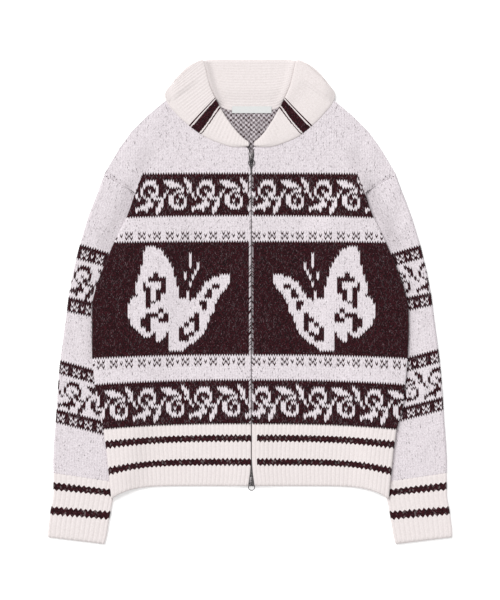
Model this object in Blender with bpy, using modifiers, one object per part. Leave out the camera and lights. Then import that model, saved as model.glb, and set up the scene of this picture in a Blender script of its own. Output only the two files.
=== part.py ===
"""A zip-up cowichan cardigan, laid flat on its back.

X runs across the chest, Y runs up towards the collar and Z is up, away from the surface that it lies on.
The body lies over the two sleeves, which hang down beside it and run in under its edges.
Sizes are in millimetres and are turned into metres when a mesh is made.
"""
import math
from collections import namedtuple

import bmesh
import bpy
from mathutils import Matrix, Vector

MM = 0.001

# ---- cloth ----
WALL = 2.8                # body and sleeve knit
COLLAR_WALL = 2.6         # collar rib, one layer
RIB_HEIGHT = 0.8          # hem and cuff ribs, raised on the outer side
RIDGE_HEIGHT = 0.6        # collar ridges
SEAM = 0.4                # gap between two pieces that meet
LOFT = 1.6                # air between the front and back layers
EDGE_LOFT = 0.4           # the same at a folded side edge
EDGE_SHARE = 0.13         # of a row, over which the layers close towards a folded edge
EDGE_THIN = 0.7           # a wall's share of its thickness at a rounded edge
SLEEVE_HEIGHT = 2 * WALL + LOFT
OVER_SLEEVE = SLEEVE_HEIGHT + RIB_HEIGHT + SEAM   # where the body lies over a sleeve
RAMP = 30.0               # the body climbs onto the sleeve over this length
RAMP_LEAD = 14.0          # and is up this far before the sleeve's edge
CREASE = 14.0             # width of the short step above the armpit
CREASE_TURN = math.radians(36.0)                  # the way that this step faces, up from +X
ARMHOLE_GAP = 0.48        # between the body and the sleeve, where their seam shows
UPPER_STEPS, UNDER_STEPS = 7, 4                   # faces across a plain sleeve's two sides
INNER_UPPER_STEPS, INNER_UNDER_STEPS = 5, 3       # the same on its inner side

# ---- zip ----
ZIP_X = 2.5               # the zip lies a little to one side of the middle
ZIP_GAP = 2.1             # from the zip's line to the knitted edge
ZIP_GAP_AT_SLIDER = 4.8
ZIP_RISE = 2.2            # the fronts bulge over the tape
ZIP_RISE_REACH = 20.0
ZIP_RISE_FADE = 28.0
CHAIN_WIDTH = 5.8
CHAIN_LOW, CHAIN_TOP = 4.3, 6.3
CHAIN_CLEAR = 1.0         # between the chain's ends and the posts in the sliders
CHAIN_BEVEL = 0.4
TAPE_WIDTH = 13.0
TAPE_LOW, TAPE_TOP = 4.9, 5.7
ZIP_TOP_Y, ZIP_BOTTOM_Y = 252.0, -302.0
SLIDER_LENGTH, SLIDER_WIDTH = 15.5, 8.4
SLIDER_LOW, SLIDER_PLATE = 3.2, 0.8
SLIDER_UPPER_LOW, SLIDER_UPPER_TOP = 6.6, 7.8
SLIDER_BEVEL, LOWER_BEVEL = 0.35, 0.2
POST_LENGTH, POST_WIDTH = 4.0, 3.0
POST_INSET = 0.5          # from the slider's end to its post
SUNK = 0.5                # how far a post or a bail's foot runs into its plate
TOP_SLIDER_Y = 230.5      # lower end of each slider
BOTTOM_SLIDER_Y = -304.0
BAIL_THICK, BAIL_WIRE, BAIL_SPAN, BAIL_TOP = 1.6, 1.4, 10.0, 13.2
BAIL_INSET = 1.0          # from the slider's lower end to the bail's foot
BAIL_CORNER = 1.2         # cut off the arch's corners
RING_RADIUS, RING_WIRE, RING_Z = 5.0, 0.8, 10.6
RING_CLEAR = 0.3          # between the ring's wire and the bail's foot

# ---- label ----
LABEL_WIDTH, LABEL_DEPTH, LABEL_THICK = 65.0, 11.2, 0.5
LABEL_X, LABEL_Y = 3.0, 316.7                     # it lies over the neck seam
LABEL_GAP = 0.3           # above the collar's ridges

# ---- collar ----
STAND_LOW = WALL + LOFT   # underside of a leaf's stand, level with the fronts
LEAF_GAP = 0.8            # between a leaf and its stand or the front below it
V_Y, V_FADE = 256.0, 60.0 # the leaves meet over the zip's line, and even out above
ROLL_BEND = 2.9           # radius of the roll line
INNER_BEND = 0.2          # the fold's inner side lies this far past the bend
LEAF_STEPS = (0.12, 0.4, 0.7, 0.93)               # from the bend to the free edge
LEAF_INNER_STEPS = (0.35, 0.7, 1.0)
LEAF_EDGE_DROP = 0.9      # the free edge is this much thinner
LEAF_LIFT, LEAF_LIFT_LEAD = 2.5, 14.0             # the leaves rise over the collar's back
LEAF_INNER_EVERY = 6      # sections of the outer side to one of the inner

HEM_RIBS = 33             # on each front
CUFF_RIBS = 13            # on the side that shows
COLLAR_RIDGES = 33        # along each leaf
STAND_RIDGES = 16         # up the back of the neck
STAND_RAMP = 0.765        # the stand's inner layer comes down from here
STAND_TURN = 0.835        # is half way down here
STAND_FLAT = 0.9          # and lies level from here to the seam
STAND_GAP = 0.5           # between the stand's two layers
STAND_FOLD = 0.3          # most of the collar's height that its fold takes

# One side of the body from the hem up: its edge at the zip or neck, and its outer edge.
PanelRow = namedtuple("PanelRow", "in_x in_y out_x out_y out_loft")
ZIP_ROWS = [
    PanelRow(ZIP_GAP, -200.5, 241.7, -209.1, EDGE_LOFT),
    PanelRow(ZIP_GAP, -163.8, 252.1, -171.2, EDGE_LOFT),
    PanelRow(ZIP_GAP, -126.3, 255.8, -134.0, EDGE_LOFT),
    PanelRow(ZIP_GAP, -86.2, 259.9, -92.0, EDGE_LOFT),
    PanelRow(ZIP_GAP, -46.6, 261.5, -49.9, EDGE_LOFT),
    PanelRow(ZIP_GAP, -3.7, 261.2, -6.2, EDGE_LOFT),
    PanelRow(ZIP_GAP, 30.9, 252.4, 28.5, EDGE_LOFT),
    PanelRow(ZIP_GAP, 65.6, 238.9, 63.9, EDGE_LOFT),
    PanelRow(ZIP_GAP, 98.6, 224.1, 96.9, EDGE_LOFT),
    PanelRow(ZIP_GAP, 120.1, 214.2, 118.9, EDGE_LOFT),
    PanelRow(ZIP_GAP, 142.0, 203.4, 138.5, EDGE_LOFT),
    PanelRow(ZIP_GAP, 162.9, 195.5, 159.6, EDGE_LOFT),
    PanelRow(ZIP_GAP, 182.8, 189.8, 180.3, EDGE_LOFT),
    PanelRow(ZIP_GAP, 191.5, 206.9, 189.9, LOFT),
    PanelRow(ZIP_GAP, 201.0, 223.9, 199.6, LOFT),
    PanelRow(ZIP_GAP, 211.0, 241.0, 209.2, LOFT),
    PanelRow(ZIP_GAP_AT_SLIDER, 228.0, 230.2, 227.3, EDGE_LOFT),
    PanelRow(ZIP_GAP_AT_SLIDER, 252.7, 214.5, 253.7, EDGE_LOFT),
]
NECK_ROWS = [
    PanelRow(33.0, 272.7, 194.7, 280.9, EDGE_LOFT),
    PanelRow(58.6, 300.7, 171.6, 304.0, EDGE_LOFT),
    PanelRow(71.8, 324.6, 145.2, 326.3, EDGE_LOFT),
    PanelRow(79.2, 346.1, 115.5, 349.4, EDGE_LOFT),
    PanelRow(83.5, 364.0, 93.0, 366.2, EDGE_LOFT),
]
BACK_NECK_ROWS = [
    PanelRow(0.0, 272.7, 194.7, 280.9, LOFT),
    PanelRow(0.0, 300.7, 171.6, 304.0, LOFT),
    PanelRow(0.0, 314.0, 145.2, 326.3, LOFT),
    PanelRow(35.0, 315.5, 137.0, 332.7, LOFT),
    PanelRow(55.0, 324.4, 126.0, 341.2, LOFT),
    PanelRow(70.0, 341.0, 115.5, 349.4, LOFT),
    PanelRow(80.0, 356.0, 102.5, 359.2, LOFT),
    PanelRow(84.5, 364.5, 92.0, 366.5, LOFT),
]
ROW_BEND = 2.5            # rows run level by the zip and curve at the side

# The hem rib, from its seam down.
HemRow = namedtuple("HemRow", "in_x in_y out_x out_y bend")
HEM_ROWS = [
    HemRow(ZIP_GAP, -201.0, 241.6, -209.6, 2.5),
    HemRow(ZIP_GAP, -234.7, 236.3, -246.2, 3.0),
    HemRow(ZIP_GAP, -262.0, 233.2, -277.0, 4.0),
    HemRow(ZIP_GAP_AT_SLIDER, -282.0, 230.8, -299.5, 6.0),
    HemRow(ZIP_GAP_AT_SLIDER, -303.6, 228.5, -325.4, 8.0),
]

# The armhole seam: it shows from the shoulder to the armpit, then runs on under the body.
Place = namedtuple("Place", "x y")
ARMHOLE = [Place(241.0, 209.2), Place(189.8, 180.3), Place(141.9, 131.6)]

# A sleeve from the armhole down: its outer and inner folds, and how far its rows bow towards the shoulder.
SleeveRow = namedtuple("SleeveRow", "outer_x outer_y inner_x inner_y bow")
SLEEVE_ROWS = [
    SleeveRow(250.0, 184.4, 138.6, 115.1, 6.0),
    SleeveRow(259.1, 161.3, 138.6, 103.6, 3.0),
    SleeveRow(268.1, 136.6, 139.4, 90.4, 1.0),
    SleeveRow(275.6, 111.8, 141.9, 77.1, 0.0),
    SleeveRow(283.0, 87.1, 143.5, 59.0, 0.0),
    SleeveRow(292.1, 49.1, 148.5, 26.0, 0.0),
    SleeveRow(299.5, 9.5, 156.8, -8.6, 0.0),
    SleeveRow(304.4, -30.1, 166.6, -49.9, 0.0),
    SleeveRow(309.4, -66.4, 176.5, -90.3, 0.0),
    SleeveRow(314.3, -106.0, 184.8, -132.4, 0.0),
    SleeveRow(317.6, -145.6, 193.9, -168.7, 0.0),
    SleeveRow(320.1, -188.5, 202.1, -208.3, 0.0),
    SleeveRow(323.4, -231.4, 209.5, -249.5, 0.0),
    SleeveRow(325.0, -264.4, 215.3, -280.9, 0.0),
    SleeveRow(324.6, -282.5, 219.4, -298.2, 0.0),
]
CUFF_ROWS = [
    SleeveRow(324.6, -283.0, 219.4, -298.7, 0.0),
    SleeveRow(325.0, -320.5, 226.0, -328.8, 0.0),
    SleeveRow(330.0, -346.9, 231.0, -355.1, 0.0),
    SleeveRow(333.3, -373.3, 235.1, -381.5, 0.0),
    SleeveRow(333.8, -388.1, 239.2, -399.6, 0.0),
]

# The collar's leaf from the zip up: the roll line, the leaf's free edge, and the neck seam that it hides.
LeafRow = namedtuple("LeafRow", "roll_x roll_y edge_x edge_y neck_x neck_y")
LEAF_ROWS = [
    LeafRow(4.6, 263.6, 4.4, 256.4, 6.2, 257.6),
    LeafRow(13.2, 270.2, 15.7, 254.9, 17.1, 262.9),
    LeafRow(23.9, 281.8, 33.0, 255.3, 32.0, 273.7),
    LeafRow(34.6, 296.6, 51.1, 260.6, 45.4, 287.6),
    LeafRow(44.5, 312.3, 69.3, 267.7, 57.2, 301.7),
    LeafRow(52.0, 326.3, 83.3, 275.8, 65.2, 315.8),
    LeafRow(56.9, 335.7, 100.6, 289.2, 70.4, 325.2),
    LeafRow(61.0, 344.4, 113.8, 300.7, 74.4, 335.0),
    LeafRow(65.7, 356.0, 123.8, 311.4, 77.7, 346.6),
    LeafRow(69.6, 370.8, 133.7, 323.0, 80.0, 360.0),
    LeafRow(73.0, 385.7, 139.8, 336.2, 82.5, 372.0),
    LeafRow(77.5, 398.0, 138.6, 347.0, 86.0, 380.0),
    LeafRow(87.0, 396.0, 127.5, 361.0, 94.0, 381.0),
]

# The collar behind the neck: its fold at the top and side, and the seam to the back.
BackCollarRow = namedtuple("BackCollarRow", "fold_x fold_y seam_x seam_y")
BACK_COLLAR_ROWS = [
    BackCollarRow(0.0, 399.2, 0.0, 314.6),
    BackCollarRow(38.0, 399.6, 35.0, 316.1),
    BackCollarRow(60.0, 399.2, 55.0, 325.1),
    BackCollarRow(78.0, 397.6, 70.0, 341.9),
    BackCollarRow(95.0, 392.8, 84.5, 366.2),
    BackCollarRow(112.0, 380.0, 93.5, 368.0),
    BackCollarRow(128.0, 361.5, 103.5, 360.5),
    BackCollarRow(137.5, 347.0, 127.0, 343.0),
]

# Soft folds on the side that shows: a crest from one point to another, its half width and its height.
Fold = namedtuple("Fold", "from_x from_y to_x to_y reach rise")
BODY_FOLDS = [
    Fold(186.0, 172.0, 128.0, 118.0, 26.0, 1.8),
    Fold(172.0, 208.0, 150.0, 240.0, 20.0, 1.2),
    Fold(236.0, 40.0, 226.0, -60.0, 22.0, 0.9),
]
SLEEVE_FOLDS = [
    Fold(262.0, 140.0, 246.0, 120.0, 12.0, 1.0),
    Fold(290.0, 20.0, 284.0, -40.0, 11.0, 1.2),
    Fold(300.0, -100.0, 284.0, -150.0, 14.0, 1.4),
    Fold(306.0, -210.0, 282.0, -246.0, 14.0, 1.2),
]

# Where a row's points lie, as shares of the way from the middle to the outer edge. The layers share them,
# so that they nest.
PANEL_COLUMNS = (0.0, 0.045, 0.1, 0.19, 0.3, 0.42, 0.54, 0.66, 0.77, 0.87, 0.95, 1.0)
HEM_STEPS = 11            # the same for the hem, in even steps
RIB_STEPS = 2 * HEM_RIBS // HEM_STEPS


# ---- shape of the layers ----

def smooth(share):
    """Rise softly from 0 to 1 as share does."""
    share = min(1.0, max(0.0, share))
    return share * share * (3.0 - 2.0 * share)


def distance_to_line(x, y, start, end):
    """The distance in plan from a point to a straight line between two places."""
    along_x, along_y = end[0] - start[0], end[1] - start[1]
    share = ((x - start[0]) * along_x + (y - start[1]) * along_y) / (along_x ** 2 + along_y ** 2)
    share = min(1.0, max(0.0, share))
    return math.hypot(x - start[0] - share * along_x, y - start[1] - share * along_y)


def fold_rise(folds, x, y):
    """The height that the soft folds add at a point."""
    rise = 0.0
    for fold in folds:
        away = distance_to_line(abs(x), y, (fold.from_x, fold.from_y), (fold.to_x, fold.to_y))
        rise += fold.rise * (1.0 - smooth(away / fold.reach))
    return rise


def hidden_sleeve_edge():
    """The sleeve's edge under the body, from the armpit down."""
    rows = SLEEVE_ROWS + CUFF_ROWS
    return [tuple(place) for place in ARMHOLE[1:]] + [(row.inner_x, row.inner_y) for row in rows]


SLEEVE_EDGE = hidden_sleeve_edge()


def support(x, y):
    """The height that the body lies on: the floor, or the sleeve that runs in under it."""
    x = abs(x)
    pairs = list(zip(SLEEVE_EDGE, SLEEVE_EDGE[1:]))
    away = min(distance_to_line(x, y, start, end) for start, end in pairs)
    for (start_x, start_y), (end_x, end_y) in pairs:
        if end_y <= y <= start_y:
            edge_x = end_x + (start_x - end_x) * (y - end_y) / (start_y - end_y)
            if x > edge_x:
                away = 0.0
    height = OVER_SLEEVE * smooth((RAMP_LEAD + RAMP - away) / RAMP)
    pit = ARMHOLE[1]
    if y > pit.y:
        outboard = math.cos(CREASE_TURN) * (x - pit.x) + math.sin(CREASE_TURN) * (y - pit.y)
        height *= 1.0 - smooth(outboard / CREASE)
    return height


def zip_rise(x):
    """How far the fronts bulge over the zip's tape."""
    return ZIP_RISE * (1.0 - smooth((abs(x - ZIP_X) - ZIP_RISE_REACH) / ZIP_RISE_FADE))


def zip_shift(y):
    """How far the neck edge lies to the zip's side: fully at the V, and not at all well above it."""
    return ZIP_X * (1.0 - smooth((y - V_Y) / V_FADE))


def back_edge_y(x):
    """The top edge of the back: the neck seam in the middle, then the shoulder."""
    edge = [(row.in_x, row.in_y) for row in BACK_NECK_ROWS[2:]]
    edge += [(row.out_x, row.out_y) for row in reversed(BACK_NECK_ROWS[2:])]
    for (start_x, start_y), (end_x, end_y) in zip(edge, edge[1:]):
        if start_x <= x <= end_x:
            return start_y + (end_y - start_y) * (x - start_x) / (end_x - start_x)
    return edge[-1][1]


def collar_lift(x, y):
    """How far the leaves rise to clear the back of the collar."""
    return LEAF_LIFT * smooth((y - back_edge_y(abs(x)) + LEAF_LIFT_LEAD) / LEAF_LIFT_LEAD)


# ---- meshes ----

def lace(bm, chain_a, chain_b):
    """Join two chains of vertices with faces, also where one has more vertices than the other."""
    last_a, last_b = len(chain_a) - 1, len(chain_b) - 1
    if last_a == last_b:
        for k in range(last_a):
            bm.faces.new((chain_a[k], chain_a[k + 1], chain_b[k + 1], chain_b[k]))
        return
    a = b = 0
    while a < last_a or b < last_b:
        if b == last_b or (a < last_a and (a + 1) * last_b <= (b + 1) * last_a):
            bm.faces.new((chain_a[a], chain_a[a + 1], chain_b[b]))
            a += 1
        else:
            bm.faces.new((chain_a[a], chain_b[b + 1], chain_b[b]))
            b += 1


def skin(bm, grid, ring):
    """Lay a skin through rows of points. The last column of a ring is its first again."""
    rows = [[bm.verts.new(Vector(point) * MM) for point in row] for row in grid]
    if ring:
        rows = [row + row[:1] for row in rows]
    for lower, upper in zip(rows, rows[1:]):
        for k in range(len(lower) - 1):
            bm.faces.new((lower[k], lower[k + 1], upper[k + 1], upper[k]))
    return rows


def wall(name, outer, inner, look, ring=False, mirrored=False):
    """A closed wall of cloth between two skins, which may have unlike numbers of points."""
    bm = bmesh.new()
    outside = skin(bm, outer, ring)
    inside = skin(bm, inner, ring)
    lace(bm, outside[0], inside[0])
    lace(bm, outside[-1], inside[-1])
    if not ring:
        lace(bm, [row[0] for row in outside], [row[0] for row in inside])
        lace(bm, [row[-1] for row in outside], [row[-1] for row in inside])
    if mirrored:
        middle = [face for face in bm.faces if all(abs(vert.co.x) < MM * 0.01 for vert in face.verts)]
        bmesh.ops.delete(bm, geom=middle, context="FACES")
    bmesh.ops.recalc_face_normals(bm, faces=bm.faces)
    if bm.calc_volume(signed=True) < 0.0:
        bmesh.ops.reverse_faces(bm, faces=bm.faces)
    mesh = bpy.data.meshes.new(name)
    bm.to_mesh(mesh)
    bm.free()
    obj = add_object(name, mesh, look)
    if mirrored:
        mirror = obj.modifiers.new("Mirror", "MIRROR")
        mirror.merge_threshold = 0.0001
    return obj


def add_object(name, mesh, look):
    """Put a named object with its own material in the cardigan's collection."""
    material = bpy.data.materials.new(name)
    material.use_nodes = True
    shader = material.node_tree.nodes["Principled BSDF"]
    shader.inputs["Base Color"].default_value = (*look.colour, 1.0)
    shader.inputs["Roughness"].default_value = look.roughness
    shader.inputs["Metallic"].default_value = look.metallic
    mesh.materials.append(material)
    obj = bpy.data.objects.new(name, mesh)
    bpy.data.collections["cowichan_cardigan"].objects.link(obj)
    return obj


Look = namedtuple("Look", "colour roughness metallic")
KNIT = Look((0.62, 0.57, 0.60), 0.95, 0.0)
RIB = Look((0.84, 0.78, 0.77), 0.95, 0.0)
LABEL = Look((0.85, 0.84, 0.82), 0.7, 0.0)
TAPE = Look((0.05, 0.035, 0.04), 0.85, 0.0)
METAL = Look((0.30, 0.29, 0.28), 0.35, 1.0)


# ---- body ----

def row_point(row, share, side, bend, is_back):
    """A point in plan along a row. On the fronts only the first point keeps to the zip or the neck edge."""
    y = row.in_y + (row.out_y - row.in_y) * share ** bend
    if row in NECK_ROWS or row in BACK_NECK_ROWS:
        shift = zip_shift(y) * (1.0 - share) if row in NECK_ROWS else 0.0
        return side * (row.in_x + (row.out_x - row.in_x) * share) + shift, y
    if share > 0.0:
        return side * row.out_x * share, y
    return (0.0 if is_back else ZIP_X + side * row.in_x), y


def edge_loft(share, out_loft):
    """The air between the layers, which closes towards a folded edge."""
    return LOFT + (out_loft - LOFT) * smooth((share - 1.0 + EDGE_SHARE) / EDGE_SHARE)


def front_panel(name, side):
    """One front, from its rib seam to the shoulder."""
    under, over = [], []
    for row in ZIP_ROWS + NECK_ROWS:
        low, high = [], []
        for share in PANEL_COLUMNS:
            x, y = row_point(row, share, side, ROW_BEND, False)
            z = support(x, y) + WALL + edge_loft(share, row.out_loft)
            z += zip_rise(x) + fold_rise(BODY_FOLDS, x, y)
            at_fold = share == 1.0 and row.out_loft == EDGE_LOFT
            thick = WALL * EDGE_THIN if share == 0.0 or at_fold else WALL
            low.append((x, y, z))
            high.append((x, y, z + thick))
        under.append(low)
        over.append(high)
    wall(name, over, under, KNIT)


def back_wall(name, rows, columns, look):
    """A back piece, made as one half that is open at the middle, and mirrored."""
    under, over = [], []
    for row in rows:
        bend = row.bend if row in HEM_ROWS else ROW_BEND
        places = [row_point(row, share, 1, bend, True) for share in columns]
        under.append([(x, y, support(x, y)) for x, y in places])
        over.append([(x, y, support(x, y) + WALL) for x, y in places])
    wall(name, over, under, look, mirrored=True)


def hem_front(name, side):
    """The rib below one front, its ribs raised on the side that shows."""
    under, over = [], []
    for row in HEM_ROWS:
        low = []
        for step in range(HEM_STEPS + 1):
            share = step / HEM_STEPS
            x, y = row_point(row, share, side, row.bend, False)
            low.append(Vector((x, y, support(x, y) + WALL + edge_loft(share, EDGE_LOFT) + zip_rise(x))))
        high = []
        for rib in range(2 * HEM_RIBS + 1):
            step = min(rib // RIB_STEPS, HEM_STEPS - 1)
            place = low[step].lerp(low[step + 1], rib / RIB_STEPS - step)
            at_edge = rib in (0, 2 * HEM_RIBS) or row is HEM_ROWS[-1]
            thick = WALL * EDGE_THIN if at_edge else WALL
            high.append(place + Vector((0.0, 0.0, thick + RIB_HEIGHT * (rib % 2))))
        under.append(low)
        over.append(high)
    wall(name, over, under, RIB)


# ---- sleeves ----

def station(row):
    """The three places that a ring of the sleeve runs through, from its outer to its inner fold."""
    outer, inner = Vector((row.outer_x, row.outer_y)), Vector((row.inner_x, row.inner_y))
    across = (inner - outer).normalized()
    middle = (outer + inner) / 2 + Vector((across.y, -across.x)) * row.bow
    return outer, middle, inner


def armhole_station():
    """The sleeve's first ring, moved away from the body, square to the seam that shows."""
    outer, middle, inner = (Vector(place) for place in ARMHOLE)
    along = (middle - outer).normalized()
    shift = Vector((-along.y, along.x)) * ARMHOLE_GAP
    return outer + shift, middle + shift, inner + shift


def ring_point(places, along, side, z):
    """A point on a ring, at a distance from its outer fold, on the right or left sleeve."""
    outer, middle, inner = places
    first, second = (middle - outer).length, (inner - middle).length
    if along <= first:
        place = outer.lerp(middle, along / first)
    else:
        place = middle.lerp(inner, (along - first) / second)
    return side * place.x, place.y, z


def tube_rings(places, side, ribs, folds):
    """The outer ring and the inner ring of a flattened tube."""
    outer, middle, inner = places
    width = (middle - outer).length + (inner - middle).length
    height = SLEEVE_HEIGHT
    bend = height / 2
    steps = 2 * ribs if ribs else UPPER_STEPS
    outside = []
    for k in range(steps + 1):
        along = bend + (width - 2 * bend) * k / steps
        x, y, z = ring_point(places, along, side, height)
        raised = RIB_HEIGHT * (k % 2) if ribs else fold_rise(folds, x, y)
        outside.append((x, y, z + raised))
    for turn in (-0.5, 0.0, 0.5):
        along = width - bend + bend * math.cos(turn * math.pi / 2)
        outside.append(ring_point(places, along, side, bend - bend * math.sin(turn * math.pi / 2)))
    for k in reversed(range(UNDER_STEPS + 1)):
        outside.append(ring_point(places, bend + (width - 2 * bend) * k / UNDER_STEPS, side, 0.0))
    for turn in (0.5, 0.0, -0.5):
        along = bend - bend * math.cos(turn * math.pi / 2)
        outside.append(ring_point(places, along, side, bend - bend * math.sin(turn * math.pi / 2)))
    inside = []
    for k in range(INNER_UPPER_STEPS + 1):
        along = bend + (width - 2 * bend) * k / INNER_UPPER_STEPS
        x, y, z = ring_point(places, along, side, height - WALL)
        inside.append((x, y, z + (0.0 if ribs else fold_rise(folds, x, y))))
    inside.append(ring_point(places, width - WALL, side, bend))
    for k in reversed(range(INNER_UNDER_STEPS + 1)):
        inside.append(ring_point(places, bend + (width - 2 * bend) * k / INNER_UNDER_STEPS, side, WALL))
    inside.append(ring_point(places, WALL, side, bend))
    return outside, inside


def sleeve(name, side):
    """One sleeve, a flattened tube from the armhole to the cuff."""
    places = [armhole_station()] + [station(row) for row in SLEEVE_ROWS]
    rings = [tube_rings(ring, side, 0, SLEEVE_FOLDS) for ring in places]
    wall(name, [pair[0] for pair in rings], [pair[1] for pair in rings], KNIT, ring=True)


def cuff(name, side):
    """One cuff, ribbed on the side that shows."""
    rings = [tube_rings(station(row), side, CUFF_RIBS, []) for row in CUFF_ROWS]
    wall(name, [pair[0] for pair in rings], [pair[1] for pair in rings], RIB, ring=True)


# ---- collar ----

def between_rows(rows, share):
    """A row read from a smooth curve through the rows of a table."""
    place = share * (len(rows) - 1)
    k = min(int(place), len(rows) - 2)
    part = place - k
    before, start, end, after = (rows[min(max(k + step, 0), len(rows) - 1)] for step in (-1, 0, 1, 2))
    values = []
    for p0, p1, p2, p3 in zip(before, start, end, after):
        values.append(0.5 * (2 * p1 + (p2 - p0) * part + (2 * p0 - 5 * p1 + 4 * p2 - p3) * part ** 2
                             + (3 * p1 - p0 - 3 * p2 + p3) * part ** 3))
    return type(rows[0])(*values)


def leaf_section(row, side, ridge):
    """One section of a front leaf: in from the neck seam, round the roll line and out to its edge."""
    roll = Vector((row.roll_x, row.roll_y))
    edge = Vector((row.edge_x, row.edge_y))
    neck = Vector((row.neck_x, row.neck_y))
    out = (edge - roll).normalized()

    def across(place):
        return side * place.x + zip_shift(place.y)

    def level(place):
        return STAND_LOW + zip_rise(across(place)) + collar_lift(place.x, place.y)

    def point(place, z):
        return across(place), place.y, z

    bend = ROLL_BEND
    inner_start = roll + out * bend
    stand_top, leaf_low = COLLAR_WALL, COLLAR_WALL + LEAF_GAP
    leaf_top = leaf_low + COLLAR_WALL
    outside = [point(neck, level(neck)), point(inner_start, level(inner_start))]
    for turn in (-0.5, 0.0, 0.5):
        place = inner_start - out * bend * math.cos(turn * math.pi / 2)
        height = leaf_top / 2 + (leaf_top / 2) * math.sin(turn * math.pi / 2)
        outside.append(point(place, level(place) + height + ridge * (turn + 0.5)))
    for share in LEAF_STEPS:
        place = inner_start.lerp(edge, share)
        outside.append(point(place, level(place) + leaf_top + ridge))
    outside.append(point(edge, level(edge) + leaf_top - LEAF_EDGE_DROP))
    fold = roll + out * (bend + INNER_BEND)
    inside = [point(neck, level(neck) + stand_top)]
    inside.append(point(fold.lerp(neck, 0.5), level(fold.lerp(neck, 0.5)) + stand_top))
    inside.append(point(fold, level(fold) + (stand_top + leaf_low) / 2))
    for share in LEAF_INNER_STEPS:
        place = fold.lerp(edge, share)
        inside.append(point(place, level(place) + leaf_low))
    return outside, inside


def collar_leaf(name, side):
    """One front leaf of the collar, folded over its own stand, with ridges that run out to its edge."""
    steps = 2 * COLLAR_RIDGES
    outer, inner = [], []
    for k in range(steps + 1):
        row = between_rows(LEAF_ROWS, k / steps)
        outside, inside = leaf_section(row, side, RIDGE_HEIGHT * (k % 2))
        outer.append(outside)
        if k % LEAF_INNER_EVERY == 0:
            inner.append(inside)
    wall(name, outer, inner, RIB)


def back_collar_section(row):
    """One section of the collar behind the neck: up its fall, over the fold and down the stand."""
    fold, seam = Vector((row.fold_x, row.fold_y)), Vector((row.seam_x, row.seam_y))
    length = (seam - fold).length
    stand_low = COLLAR_WALL + STAND_GAP
    top = stand_low + COLLAR_WALL

    def point(share, z):
        place = fold.lerp(seam, share)
        return place.x, place.y, z

    def stand_level(share):
        return stand_low * (1.0 - smooth((share - STAND_RAMP) / (STAND_FLAT - STAND_RAMP)))

    near_fold = min(ROLL_BEND / length, STAND_FOLD)
    outside = [point(STAND_RAMP, 0.0), point(0.5, 0.0), point(near_fold, 0.0)]
    for turn in (-0.5, 0.0, 0.5):
        angle = turn * math.pi / 2
        outside.append(point(near_fold * (1.0 - math.cos(angle)), top / 2 * (1.0 + math.sin(angle))))
    steps = 2 * STAND_RIDGES
    for k in range(steps + 1):
        share = near_fold + (1.0 - near_fold) * k / steps
        outside.append(point(share, stand_level(share) + COLLAR_WALL + RIDGE_HEIGHT * (k % 2)))
    inside = [point(STAND_RAMP, COLLAR_WALL), point(0.5, COLLAR_WALL)]
    inside.append(point(near_fold, (COLLAR_WALL + stand_low) / 2))
    inside += [point(0.5, stand_low), point(STAND_RAMP, stand_low)]
    inside += [point(STAND_TURN, stand_level(STAND_TURN)), point(STAND_FLAT, 0.0), point(1.0, 0.0)]
    return outside, inside


def collar_back():
    """The collar behind the neck, with the ridges of its inner side across."""
    sections = [back_collar_section(row) for row in BACK_COLLAR_ROWS]
    wall("collar_back", [pair[0] for pair in sections], [pair[1] for pair in sections], RIB, mirrored=True)


# ---- hard pieces ----

def block(name, low, high, look, bevel=0.0, collection=None):
    """A box between two corners, with its edges bevelled."""
    bm = bmesh.new()
    bmesh.ops.create_cube(bm, size=1.0)
    low, high = Vector(low) * MM, Vector(high) * MM
    size = high - low
    matrix = Matrix.Translation((low + high) / 2) @ Matrix.Diagonal((*size, 1.0))
    bmesh.ops.transform(bm, matrix=matrix, verts=bm.verts)
    if bevel:
        bmesh.ops.bevel(bm, geom=bm.edges[:], offset=bevel * MM, segments=1, affect="EDGES")
    mesh = bpy.data.meshes.new(name)
    bm.to_mesh(mesh)
    bm.free()
    return place_mesh(name, mesh, look, collection)


def place_mesh(name, mesh, look, collection):
    """Make an object of a mesh: a piece of the cardigan, or a guide for a Boolean."""
    if collection is None:
        return add_object(name, mesh, look)
    guide = bpy.data.objects.new(name, mesh)
    guide.hide_render = True
    guide.display_type = "WIRE"
    collection.objects.link(guide)
    return guide


def bail(name, start_y, collection):
    """The arch on a slider that holds its ring, as a flat outline with thickness."""
    low = SLIDER_UPPER_TOP - SUNK
    inner_span, inner_top = BAIL_SPAN - BAIL_WIRE, BAIL_TOP - BAIL_WIRE
    outline = [(0.0, low), (0.0, BAIL_TOP - BAIL_CORNER), (BAIL_CORNER, BAIL_TOP),
               (BAIL_SPAN - 2 * BAIL_CORNER, BAIL_TOP), (BAIL_SPAN, BAIL_TOP - 2 * BAIL_CORNER),
               (BAIL_SPAN, low), (inner_span, low), (inner_span, inner_top - BAIL_CORNER),
               (inner_span - BAIL_CORNER, inner_top), (BAIL_WIRE, inner_top), (BAIL_WIRE, low)]
    bm = bmesh.new()
    left = ZIP_X - BAIL_THICK / 2
    verts = [bm.verts.new(Vector((left, start_y + y, z)) * MM) for y, z in outline]
    face = bm.faces.new(verts)
    made = bmesh.ops.extrude_face_region(bm, geom=[face])["geom"]
    moved = [item for item in made if isinstance(item, bmesh.types.BMVert)]
    bmesh.ops.translate(bm, verts=moved, vec=(BAIL_THICK * MM, 0.0, 0.0))
    bmesh.ops.recalc_face_normals(bm, faces=bm.faces)
    mesh = bpy.data.meshes.new(name)
    bm.to_mesh(mesh)
    bm.free()
    return place_mesh(name, mesh, METAL, collection)


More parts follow.
